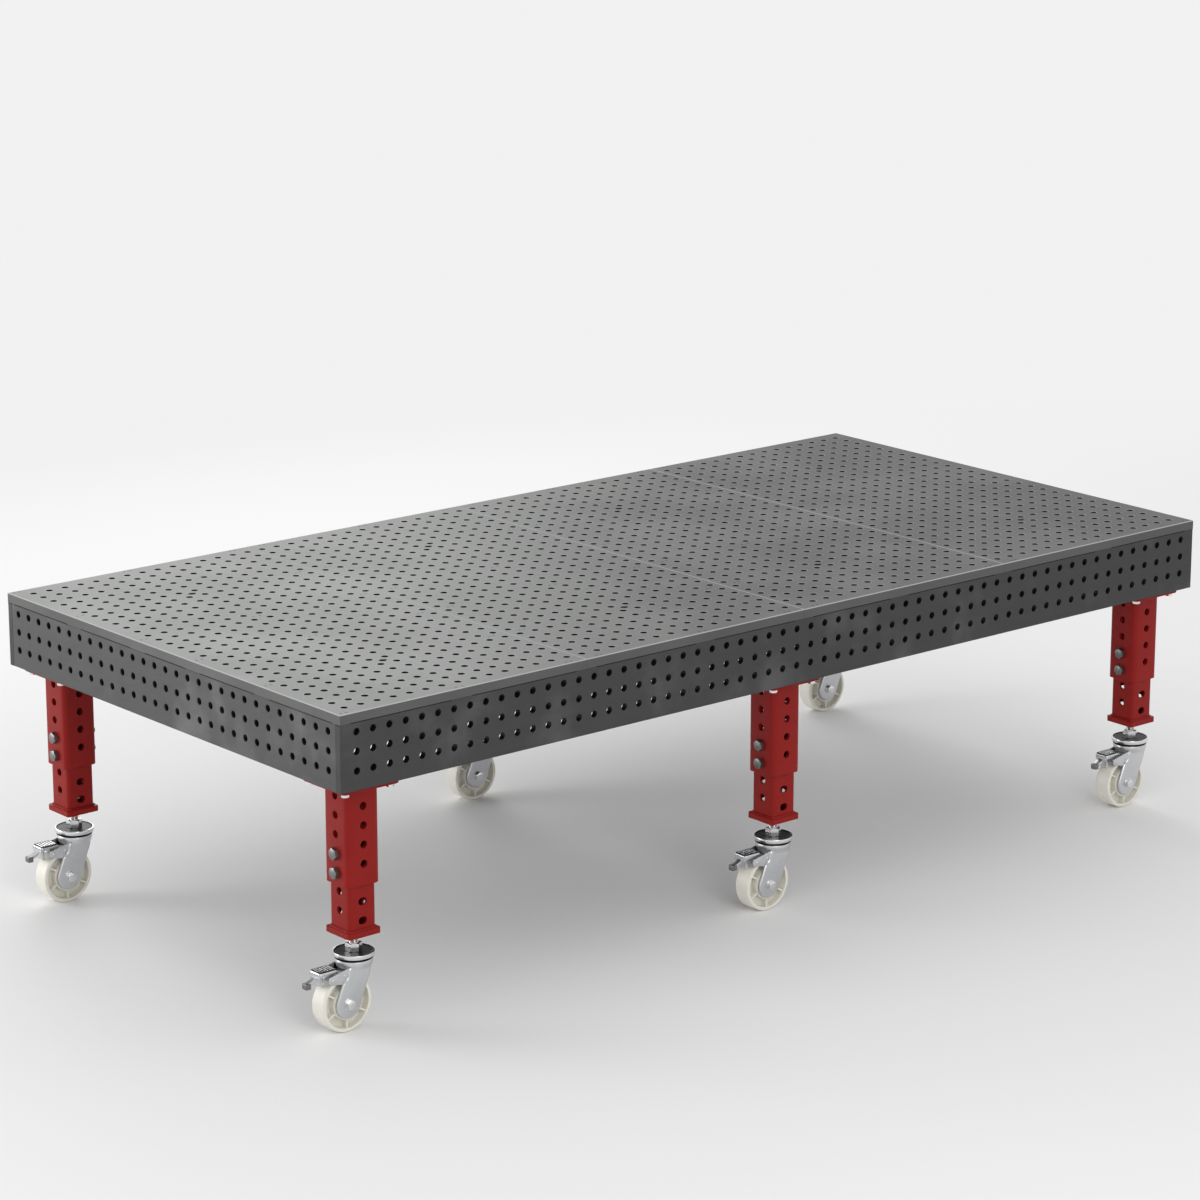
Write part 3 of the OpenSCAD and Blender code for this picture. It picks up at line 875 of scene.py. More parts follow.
def add_corner_holes(shape: Shape, us: Array, vs: Array, kind: Holes, thickness: float) -> None:
    """Adds the bores of holes where four blocks meet, with eight faces of five corners round each.

    Args:
        shape: the panel.
        us: lattice lines along U.
        vs: lattice lines along V.
        kind: the holes.
        thickness: the panel's thickness.
    """
    straight = np.array([[1, 0], [0, 0], [0, 1], [0, 0], [-1, 0], [0, 0], [0, -1], [0, 0]])
    diagonal = np.array([[0, 0], [1, 1], [0, 0], [-1, 1], [0, 0], [-1, -1], [0, 0], [1, -1]])
    centre = kind.centres(us, vs)
    border = centre + straight * np.diff(us)[kind.across][:, None, None] + diagonal * CORNER_PULL
    circle = np.roll(on_circle((np.arange(16) - 6) * np.pi / 8), -6, axis=0)
    wide = centre + (kind.radius + kind.chamfer) * circle
    bore = centre + kind.radius * circle
    k = np.arange(8)
    five = np.stack([k, (k + 1) % 8, 8 + (2 * k + 2) % 16, 8 + 2 * k + 1, 8 + 2 * k], axis=-1)
    for rim, w in ((wide, 0.0), (bore, -thickness)):
        flat = np.concatenate([border, rim], axis=1)
        offsets = (np.arange(len(flat)) * flat.shape[1])[:, None, None]
        shape.add(at_height(flat, w), (five + offsets).reshape(-1, 5))
    layers = ((wide, 0.0), (bore, -kind.chamfer), (bore, -thickness))
    shape.grid(np.stack([at_height(flat, w) for flat, w in layers], axis=1), wrap=True)


def perforated(us: Array, vs: Array, kinds: Sequence[Holes], thickness: float) -> Shape:
    """A flat panel with round or long holes on a lattice whose lines lie a quarter pitch apart.

    Args:
        us: lattice lines along U.
        vs: lattice lines along V.
        kinds: the holes.
        thickness: from the face at w = 0 down to the back at w = -thickness.

    Returns:
        The shape: both faces and all bores, without the panel's own side walls.
    """
    shape = Shape()
    free = np.ones((len(us) - 1, len(vs) - 1), bool)
    corners = [kind for kind in kinds if kind.at_corner]
    span = np.arange(-2, 2)
    for kind in kinds:
        if not kind.at_corner:
            add_blocks(shape, us, vs, kind, corners, thickness)
            free[kind.across[:, None, None] + span[:, None], kind.along[:, None, None] + span] = False
    for kind in corners:
        add_corner_holes(shape, us, vs, kind, thickness)
    lattice = np.stack(np.meshgrid(us, vs, indexing="ij"), axis=-1)
    index = np.arange(len(us) * len(vs)).reshape(len(us), len(vs))
    i, j = np.nonzero(free)
    cells = np.stack([index[i, j], index[i + 1, j], index[i + 1, j + 1], index[i, j + 1]], axis=-1)
    for w in (0.0, -thickness):
        shape.add(at_height(lattice, w), cells)
    return shape


def panel_edge(us: Array, vs: Array, outer: Sequence[float], thickness: float, front: float) -> Shape:
    """The side walls of a rectangular panel: bevelled at the face, square at the back.

    Args:
        us: the face's lattice lines along U, the first and last at the bevel's inner edge.
        vs: the same along V.
        outer: the panel's true (u0, u1, v0, v1).
        thickness: the panel's thickness.
        front: the bevel's depth at the face.

    Returns:
        The walls, whose border points meet those of the two faces.
    """
    full_u = np.concatenate([[outer[0]], us[1:-1], [outer[1]]])
    full_v = np.concatenate([[outer[2]], vs[1:-1], [outer[3]]])

    def loop(a: Array, b: Array, w: float) -> Array:
        """The border points in order.

        Args:
            a: lattice lines along U.
            b: lattice lines along V.
            w: the points' height.

        Returns:
            The points.
        """
        u = np.concatenate([a[:-1], np.full(len(b) - 1, a[-1]), a[:0:-1], np.full(len(b) - 1, a[0])])
        v = np.concatenate([np.full(len(a) - 1, b[0]), b[:-1], np.full(len(a) - 1, b[-1]), b[:0:-1]])
        return at_height(np.stack([u, v], axis=-1), w)

    shape = Shape()
    shape.grid(np.array([loop(us, vs, 0.0), loop(full_u, full_v, -front), loop(full_u, full_v, -thickness),
                         loop(us, vs, -thickness)]), wrap=True)
    return shape


def every_hole(us: Array, vs: Array) -> tuple[Array, Array]:
    """The lattice indices of the middle of every whole pitch each way."""
    i, j = (np.arange(PER_PITCH // 2, len(line), PER_PITCH) for line in (us, vs))
    return tuple(block.ravel() for block in np.meshgrid(i, j, indexing="ij"))


@dataclass(frozen=True)
class TableSizes:
    """Sizes of the table, in metres; seams, lifts and tabs are in pitches from its left or front edge."""

    centre_x: float = 20.85 * MM
    half_l: float = 1549.4 * MM
    half_w: float = 762.0 * MM
    height: float = 869.95 * MM
    top_t: float = 25.4 * MM
    side_t: float = 19.05 * MM
    side_h: float = 177.8 * MM
    side_rows: int = 3
    first_row: float = 25.4 * MM
    columns: int = 60
    rows: int = 29
    shadow: float = 2.0 * MM
    hole_r: float = 9.525 * MM
    rim: float = 1.0 * MM
    bevel: float = 1.8 * MM
    side_bevel: float = 1.2 * MM
    seam_bevel: float = 1.6 * MM
    seam_gap: float = 0.25 * MM
    seams: tuple[float, ...] = (0.0, 15.5, 30.5, 45.5, 61.0)
    lifts: tuple[float, ...] = (7.5, 23.5, 37.5, 53.5)
    lift_rows: tuple[float, ...] = (6.5, 23.5)
    tabs: tuple[float, ...] = (0.0, 7.5, 15.5, 23.5, 30.5, 37.5, 45.5, 53.5, 61.0)
    side_tabs: tuple[float, ...] = (0.0, 6.5, 12.5, 17.5, 23.5, 30.0)
    tab_len: float = 66.0 * MM
    tab_drop: float = 1.5 * MM
    tab_back: float = 1.0 * MM


class TableTop:
    """The four ground top plates with their grid of fixture holes and lifting holes."""

    def __init__(self, sizes: TableSizes, finish: bpy.types.Material) -> None:
        """Builds the plates.

        Args:
            sizes: the table's sizes.
            finish: the ground steel.
        """
        for k in range(len(sizes.seams) - 1):
            self.plate(sizes, k, finish)

    def plate(self, s: TableSizes, k: int, finish: bpy.types.Material) -> None:
        """Builds one plate: lattice lines a quarter pitch apart, the outermost drawn to the plate's bevels.

        Args:
            s: the table's sizes.
            k: the plate's number from the left, from 0.
            finish: the ground steel.
        """
        seam_left, seam_right = k > 0, k < len(s.seams) - 2
        first = max(s.seams[k], 0.5)
        last = min(s.seams[k + 1], s.columns + 0.5)
        us = np.arange(round((last - first) * PER_PITCH) + 1) * PITCH / PER_PITCH + first * PITCH - s.half_l
        vs = np.arange(s.rows * PER_PITCH + 1) * PITCH / PER_PITCH + 0.5 * PITCH - s.half_w
        u0 = s.seams[k] * PITCH - s.half_l + (s.seam_gap if seam_left else 0.0)
        u1 = s.seams[k + 1] * PITCH - s.half_l - (s.seam_gap if seam_right else 0.0)
        us[0] = u0 + (s.seam_bevel if seam_left else s.bevel)
        us[-1] = u1 - (s.seam_bevel if seam_right else s.bevel)
        vs[0], vs[-1] = s.bevel - s.half_w, s.half_w - s.bevel
        lifts = np.array([x for x in s.lifts if s.seams[k] < x < s.seams[k + 1]])
        lift_u = np.round((lifts - first) * PER_PITCH).astype(int)
        lift_v = np.round((np.array(s.lift_rows) - 0.5) * PER_PITCH).astype(int)
        lift_i, lift_j = np.meshgrid(lift_u, lift_v, indexing="ij")
        holes = Holes(*every_hole(us, vs), s.hole_r, chamfer=s.rim)
        lifting = Holes(lift_i.ravel(), lift_j.ravel(), s.hole_r, chamfer=s.rim, at_corner=True)
        shape = perforated(us, vs, [holes, lifting], s.top_t)
        shape.join(panel_edge(us, vs, (u0, u1, -s.half_w, s.half_w), s.top_t, s.bevel))
        name = f"top_plate_{k + 1}"
        shape = shape.moved(Turn.UP.at(s.centre_x, 0, s.height))
        shape.build(f"ground_{name}", finish, "table_body", "ground_steel", [name])


class Skirt:
    """The four side plates, with three rows of holes, the shadow gap and the weld tabs in it."""

    def __init__(self, sizes: TableSizes, finish: bpy.types.Material, lit_end_finish: bpy.types.Material) -> None:
        """Builds the four plates.

        Args:
            sizes: the table's sizes.
            finish: the long plates' steel.
            lit_end_finish: the short plates' steel, a paler copy that paints light on the end faces.
        """
        s = sizes
        foot = s.height - s.top_t - s.side_h
        long = (s.half_l, s.columns, s.tabs, finish)
        short = (s.half_w - s.side_t, s.rows, s.side_tabs, lit_end_finish)
        for name, place, (half, count, tabs, steel) in (
                ("side_front", Turn.FRONT.at(s.centre_x, -s.half_w, foot), long),
                ("side_back", Turn.BACK.at(s.centre_x, s.half_w, foot), long),
                ("side_left", Turn.LEFT.at(s.centre_x - s.half_l, 0, foot), short),
                ("side_right", Turn.RIGHT.at(s.centre_x + s.half_l, 0, foot), short)):
            shape = self.panel(s, half, count)
            shape.join(self.weld_tabs(s, half, count, tabs))
            shape.moved(place).build(f"plate_{name}", steel, "table_body", "side_steel", [name])

    @staticmethod
    def panel(s: TableSizes, half: float, count: int) -> Shape:
        """One plate: U along it about its middle, V up from its lower edge, its face at w = 0.

        Args:
            s: the table's sizes.
            half: half the plate's length.
            count: its holes in a row.

        Returns:
            The shape.
        """
        edge = s.side_bevel
        us = (np.arange(count * PER_PITCH + 1) / PER_PITCH - count / 2) * PITCH
        lowest = s.side_h - s.first_row - (s.side_rows - 1) * PITCH
        rows = lowest + (np.arange(s.side_rows * PER_PITCH + 1) / PER_PITCH - 0.5) * PITCH
        vs = np.concatenate([[0.0], rows[1:-1], [0.0]])
        high = s.side_h - s.shadow
        us[0], us[-1] = edge - half, half - edge
        vs[0], vs[-1] = edge, high - edge
        shape = perforated(us, vs, [Holes(*every_hole(us, vs), s.hole_r, chamfer=s.rim)], s.side_t)
        shape.join(panel_edge(us, vs, (-half, half, 0.0, high), s.side_t, edge))
        return shape

    @staticmethod
    def weld_tabs(s: TableSizes, half: float, count: int, tabs: Sequence[float]) -> Shape:
        """Thin bars that bridge the shadow gap at the ribs and corners, a little behind the face.

        Args:
            s: the table's sizes.
            half: half the plate's length.
            count: its holes in a row.
            tabs: the bars' middles.

        Returns:
            The shape.
        """
        shape = Shape()
        for tab in tabs:
            middle = (tab - (count + 1) / 2) * PITCH
            low, high = max(middle - s.tab_len / 2, -half), min(middle + s.tab_len / 2, half)
            outline = rounded(high - low, s.side_t - s.tab_back, 0.3 * MM, 1)
            bar = slab(outline, s.side_h - s.shadow - s.tab_drop, s.side_h, 0.2 * MM)
            shape.join(bar.moved(Turn.LYING.at((low + high) / 2, 0, -s.side_t / 2)))
        return shape


@dataclass(frozen=True)
class TubeSizes:
    """A square tube with index holes, in metres, and its lattice of lines a quarter pitch apart."""

    width: float
    corner: float
    wall: float
    low: float
    high: float
    first_line: float
    lines: int
    x_faces: range
    y_faces: range
    y_stretch: float = 0.0
    hole_r: float = 10.3 * MM
    edge: float = 0.8 * MM


class SquareTube:
    """A hollow square tube with round corners, holes in its four faces and bevelled ends."""

    def __init__(self, sizes: TubeSizes) -> None:
        """Builds the tube about the Z axis.

        Args:
            sizes: its sizes; x_faces and y_faces are lattice indices of hole centres.
        """
        s = sizes
        flat = s.width / 2 - s.corner
        vs = s.first_line + np.arange(s.lines) * PITCH / PER_PITCH
        vs[0], vs[-1] = s.low + s.edge, s.high - s.edge
        us = np.linspace(-flat, flat, PER_PITCH + 1)
        self.shape = Shape()
        for quarter in range(4):
            rows, stretch = (s.y_faces, s.y_stretch) if quarter % 2 else (s.x_faces, 0.0)
            middle = np.full(len(rows), PER_PITCH // 2)
            face = perforated(us, vs, [Holes(middle, np.array(rows), s.hole_r, stretch, s.edge)], s.wall)
            self.shape.join(face.moved(spun(quarter * math.pi / 2) @ Turn.RIGHT.at(s.width / 2)))
        a = np.linspace(0.0, np.pi / 2, 7)
        for quarter, signs in enumerate(((1, 1), (-1, 1), (-1, -1), (1, -1))):
            for radius in (s.corner, s.corner - s.wall):
                arc = flat * np.array(signs) + radius * on_circle(a + quarter * np.pi / 2)
                self.shape.grid(np.stack([at_height(arc, v) for v in vs]))
        for v, tip in ((vs[0], s.low), (vs[-1], s.high)):
            steps = ((0.0, v), (s.edge, tip), (s.wall - s.edge, tip), (s.wall, v))
            rings = [at_height(self.outline(s, us, depth), z) for depth, z in steps]
            self.shape.grid(np.stack(rings), wrap=True)

    @staticmethod
    def outline(s: TubeSizes, us: Array, depth: float) -> Array:
        """The section's outline, with the lattice lines' points on each flat.

        Args:
            s: the tube's sizes.
            us: the lattice lines across a face.
            depth: how far the outline lies below the outer face.

        Returns:
            The 2-D points.
        """
        a = np.linspace(0.0, np.pi / 2, 7)[:-1]
        parts = []
        for quarter in range(4):
            c, t = math.cos(quarter * math.pi / 2), math.sin(quarter * math.pi / 2)
            side = np.column_stack([np.full(len(us) - 1, s.width / 2 - depth), us[:-1]])
            arc = s.width / 2 - s.corner + (s.corner - depth) * on_circle(a)
            parts.append(np.concatenate([side, arc]) @ np.array([[c, t], [-t, c]]))
        return np.concatenate(parts)


def hexagon(width: float, low: float, high: float, below: bool = False) -> Shape:
    """A bolt head or nut: hexagonal, with corners cut by a cone, z = high - (r - crown) tan 30.

    Args:
        width: across the flats.
        low: the lower face's height.
        high: the upper face's height.
        below: cuts the lower corners as well.

    Returns:
        The shape.
    """
    crown = 0.94
    a = around(48)
    rho = width / 2 / np.cos((a + np.pi / 6) % (np.pi / 3) - np.pi / 6)
    flat = np.full(len(a), width / 2 * crown)
    drop = (rho - flat) * math.tan(math.pi / 6)
    rows = [(flat, high), (rho, high - drop)]
    rows += [(rho, low + drop), (flat, low)] if below else [(rho, low)]
    shape = Shape()
    shape.tube(np.array([at_height(on_circle(a) * r[:, None], z) for r, z in rows]))
    return shape


def thread(radius: float, low: float, high: float, lead: float, depth: float) -> Shape:
    """A screw thread about Z: r = radius - depth tri(z / lead - angle / 2 pi), six rows a turn, flat ends.

    Args:
        radius: the crests' radius.
        low: the lower end's height.
        high: the upper end's height.
        lead: the rise in one turn.
        depth: from crest to root.

    Returns:
        The shape.
    """
    count = max(int(round((high - low) / lead * 6)), 6)
    z = np.linspace(low, high, count + 1)[:, None]
    a = around(32)[None, :]
    phase = (z / lead - a / (2 * np.pi)) % 1.0
    r = radius - depth * (1.0 - np.abs(2.0 * phase - 1.0))
    shape = Shape()
    shape.tube(at_height(r[..., None] * on_circle(a), z))
    return shape


def bead(outline: Array, height: float, up: float, size: float = 5.0 * MM) -> Shape:
    """A weld bead round an outline: a half-round section carried along it, its size rippled by a sine.

    Args:
        outline: closed 2-D path, counter-clockwise.
        height: the path's height.
        up: 1 above the plate, -1 below it.
        size: the bead's leg length.

    Returns:
        The shape.
    """
    step, wave, swell = 2.2 * MM, 6.6 * MM, 0.12
    closed = np.vstack([outline, outline[:1]])
    length = np.concatenate([[0.0], np.cumsum(np.linalg.norm(np.diff(closed, axis=0), axis=1))])
    steps = int(length[-1] / step)
    s = np.arange(steps) * length[-1] / steps
    path = np.column_stack([np.interp(s, length, closed[:, 0]), np.interp(s, length, closed[:, 1])])
    out = inset(path, -1.0) - path
    out /= np.linalg.norm(out, axis=1, keepdims=True)
    ripple = size * (1.0 + swell * np.sin(s * 2 * np.pi / wave))
    section = np.array([[-0.25, -0.25], [1.0, -0.1], [0.86, 0.42], [0.42, 0.86], [-0.1, 1.0]])
    rows = [at_height(path + out * (p * ripple)[:, None], height + up * q * ripple) for p, q in section]
    shape = Shape()
    shape.grid(np.array(rows + rows[:1]), wrap=True)
    return shape


def collar(outer: Array, inner: Array, low: float, high: float, edge: float) -> Shape:
    """A flat plate with one opening: two outlines of equal count, with the outer edges broken.

    Args:
        outer: the outer outline.
        inner: the opening's outline.
        low: the lower face's height.
        high: the upper face's height.
        edge: how far the outer edges are broken.

    Returns:
        The shape.
    """
    flat = inset(outer, edge)
    rows = ((outer, low + edge), (outer, high - edge), (flat, high), (inner, high), (inner, low), (flat, low),
            (outer, low + edge))
    shape = Shape()
    shape.grid(np.array([at_height(line, z) for line, z in rows]), wrap=True)
    return shape


@dataclass(frozen=True)
class LegSizes:
    """Places and sizes of one leg, in metres, about its own axis; pairs of heights run from low to high."""

    places: tuple[Span, ...] = tuple(
        (x * MM, y * MM) for y in (-647.7, 647.7) for x in (-1435.1, 0.0, 1435.1))
    centre_x: float = TableSizes.centre_x
    flange_low: float = 650.875 * MM
    flange_w: float = 177.8 * MM
    flange_t: float = 15.875 * MM
    flange_corner: float = 12.7 * MM
    opening: Span = (88.9 * MM, 9.55 * MM)
    bolt_spread: float = 69.85 * MM
    bolt_af: float = 19.05 * MM
    bolt_r: float = 6.35 * MM
    bolt_head: Span = (2.5 * MM, 10.4 * MM)
    bolt_nut: Span = (28.575 * MM, 39.7 * MM)
    bolt_tip: Span = (39.0 * MM, 42.6 * MM)
    wall: float = 6.35 * MM
    outer_w: float = 101.6 * MM
    outer_corner: float = 15.9 * MM
    tube_low: float = 389.15 * MM
    inner_w: float = 84.1 * MM
    inner_corner: float = 10.75 * MM
    inner_high: float = 700.275 * MM
    inner_line: float = 268.5 * MM
    inner_stretch: float = 2.7 * MM
    foot_low: float = 252.6 * MM
    foot_t: float = 15.875 * MM
    foot_w: float = 101.6 * MM
    foot_cut: float = 5.0 * MM
    foot_hole: float = 13.0 * MM
    lock_heights: Span = (420.9 * MM, 471.7 * MM)
    lock_af: float = 28.575 * MM
    lock_r: float = 9.525 * MM
    lock_head: float = 12.38 * MM
    lock_nut: float = 16.0 * MM
    lock_end: float = -123.6 * MM
    lock_thread: float = 25.4 * MM


@dataclass(frozen=True)
class Finishes:
    """The finishes that the legs and casters use."""

    red: bpy.types.Material
    zinc: bpy.types.Material
    bright: bpy.types.Material
    steel: bpy.types.Material
    seal: bpy.types.Material
    nylon: bpy.types.Material


class Leg:
    """One telescopic leg: flange, outer tube with weld nuts, inner tube with foot plate, and lock bolts."""

    def __init__(self, index: int, sizes: LegSizes, looks: Finishes) -> None:
        """Builds one leg.

        Args:
            index: the leg's number, from 1.
            sizes: the leg's sizes.
            looks: the finishes.
        """
        self.index = index
        self.s = sizes
        x, y = sizes.places[index - 1]
        self.home = Matrix.Translation((x + sizes.centre_x, y, 0))
        self.outer(looks)
        self.inner(looks)
        self.bolts(looks)

    def place(self, shape: Shape, name: str, finish: bpy.types.Material, body: str, slot: str,
              replaces: Sequence[str] = ()) -> None:
        """Moves a shape from the leg's axis to its place and makes the piece."""
        shape.moved(self.home).build(f"{name}_{self.index}", finish, body, slot, replaces)

    def outer(self, looks: Finishes) -> None:
        """The flange, the outer tube, the weld between them and the nuts on its far side.

        Args:
            looks: the finishes.
        """
        s = self.s
        tube = SquareTube(TubeSizes(
            width=s.outer_w, corner=s.outer_corner, wall=s.wall, low=s.tube_low, high=s.flange_low,
            first_line=s.tube_low + s.wall, lines=21, x_faces=range(2, 20, 4), y_faces=range(4, 20, 4))).shape
        tube.join(bead(rounded(s.outer_w, s.outer_w, s.outer_corner), s.flange_low, -1.0))
        for z in s.lock_heights:
            tube.join(hexagon(s.lock_af, 0.0, s.lock_nut).moved(Turn.BOLT_RIGHT.at(s.outer_w / 2, 0, z)))
        self.place(tube, "outer_tube", looks.red, "table_body", "red_paint", [f"leg_tube_{self.index}"])
        opening, corner = s.opening
        flange = collar(rounded(s.flange_w, s.flange_w, s.flange_corner), rounded(opening, opening, corner),
                        s.flange_low, s.flange_low + s.flange_t, 1.2 * MM)
        first = self.index == 1
        self.place(flange, "flange", looks.red, "table_body", "red_paint", ["leg_flanges"] if first else ())
        heads = Shape()
        for i in (-1, 1):
            for j in (-1, 1):
                spot = Turn.UP.at(i * s.bolt_spread, j * s.bolt_spread, s.flange_low)
                turn = spun(0.4 + 1.3 * i + 0.7 * j + self.index)
                heads.join(washer(13.3, 2.5, 32).moved(spot @ FLIP))
                heads.join(hexagon(s.bolt_af, *s.bolt_head).moved(spot @ FLIP @ turn))
                heads.join(hexagon(s.bolt_af, *s.bolt_nut, below=True).moved(spot @ turn))
                heads.join(thread(s.bolt_r, *s.bolt_tip, 2.0 * MM, 0.8 * MM).moved(spot))
        self.place(heads, "flange_bolts", looks.bright, "table_body", "zinc",
                   ["flange_bolts"] if first else ())

    def inner(self, looks: Finishes) -> None:
        """The inner tube and the foot plate welded under it.

        Args:
            looks: the finishes.
        """
        s = self.s
        foot_top = s.foot_low + s.foot_t
        tube = SquareTube(TubeSizes(
            width=s.inner_w, corner=s.inner_corner, wall=s.wall, low=foot_top, high=s.inner_high,
            first_line=s.inner_line, lines=35, x_faces=range(4, 34, 4), y_faces=range(2, 32, 4),
            y_stretch=s.inner_stretch)).shape
        half = s.foot_w / 2
        cut = half - s.foot_cut
        corners = np.array([[half, -cut], [half, cut], [cut, half], [-cut, half], [-half, cut], [-half, -cut],
                            [-cut, -half], [cut, -half]])
        along = np.linspace(0, 1, 6, endpoint=False)[None, :, None]
        start, end = corners[:, None], np.roll(corners, -1, axis=0)[:, None]
        outline = (start * (1 - along) + end * along).reshape(-1, 2)
        hole = s.foot_hole * on_circle(np.arctan2(outline[:, 1], outline[:, 0]))
        tube.join(collar(outline, hole, s.foot_low, foot_top, 0.8 * MM))
        tube.join(bead(rounded(s.inner_w, s.inner_w, s.inner_corner), foot_top, 1.0))
        self.place(tube, "inner_tube", looks.red, f"leg_body_{self.index}", "red_paint",
                   [f"inner_leg_{self.index}"])

    def bolts(self, looks: Finishes) -> None:
        """The two lock bolts, their heads on the left face.

        Args:
            looks: the finishes.
        """
        s = self.s
        shape = Shape()
        for n, z in enumerate(s.lock_heights):
            spot = Turn.BOLT_LEFT.at(-s.outer_w / 2, 0, z)
            head = hexagon(s.lock_af, 0.6 * MM, s.lock_head)
            shape.join(head.moved(spot @ spun(0.35 + 0.5 * n + self.index)))
            shape.join(rod(13.2 * MM, 0, 0.6 * MM).moved(spot))
            low, top = s.lock_end + 25 * MM, 0.3 * MM
            shank = lathe([(0, top), (s.lock_r, top), (s.lock_r, low + MM), (s.lock_r - 0.6 * MM, low),
                           (0, low)], 40)
            shape.join(shank.moved(spot))
            end = thread(s.lock_r - 0.1 * MM, s.lock_end, s.lock_end + s.lock_thread, 2.5 * MM, 1.0 * MM)
            shape.join(end.moved(spot))
        self.place(shape, "lock_bolt", looks.steel, f"lock_body_{self.index}", "zinc",
                   [f"lock_bolts_{self.index}"])


@dataclass(frozen=True)
class CasterSizes:
    """Heights and radii of one caster, in metres, about its swivel axis."""

    fork_top: float = 186.8 * MM
    crown_h: float = 22.0 * MM
    seal_low: float = 187.1 * MM
    cup_low: float = 193.1 * MM
    cup_high: float = 205.1 * MM
    dish_deep: float = 1.5 * MM
    foot_high: float = 268.475 * MM
    stud_r: float = 12.7 * MM
    nut_af: float = 38.1 * MM
    nut_h: float = 22.2 * MM
    trail: float = 40.0 * MM
    wheel_r: float = 76.2 * MM
    cheek_out: float = 36.0 * MM
    cheek_t: float = 6.35 * MM
    axle_r: float = 7.94 * MM
    axle_af: float = 23.8 * MM
    end_r: float = 37.5 * MM
    arc_back: float = 2.0 * MM
    pivot: Span = (-88.0 * MM, 149.0 * MM)
    pedal: Span = (-123.0 * MM, -66.0 * MM)
    pedal_w: float = 46.0 * MM
    pedal_top: float = 174.0 * MM
    treads: int = 6
    tread_pitch: float = 8.3 * MM


def across(half: float, edge: float, *side_view: Sequence[float]) -> Shape:
    """A bar across the caster, half to each side, from its side view; all sizes in millimetres."""
    return slab(metres(*side_view), -half * MM, half * MM, edge * MM).moved(Turn.FRONT.at())


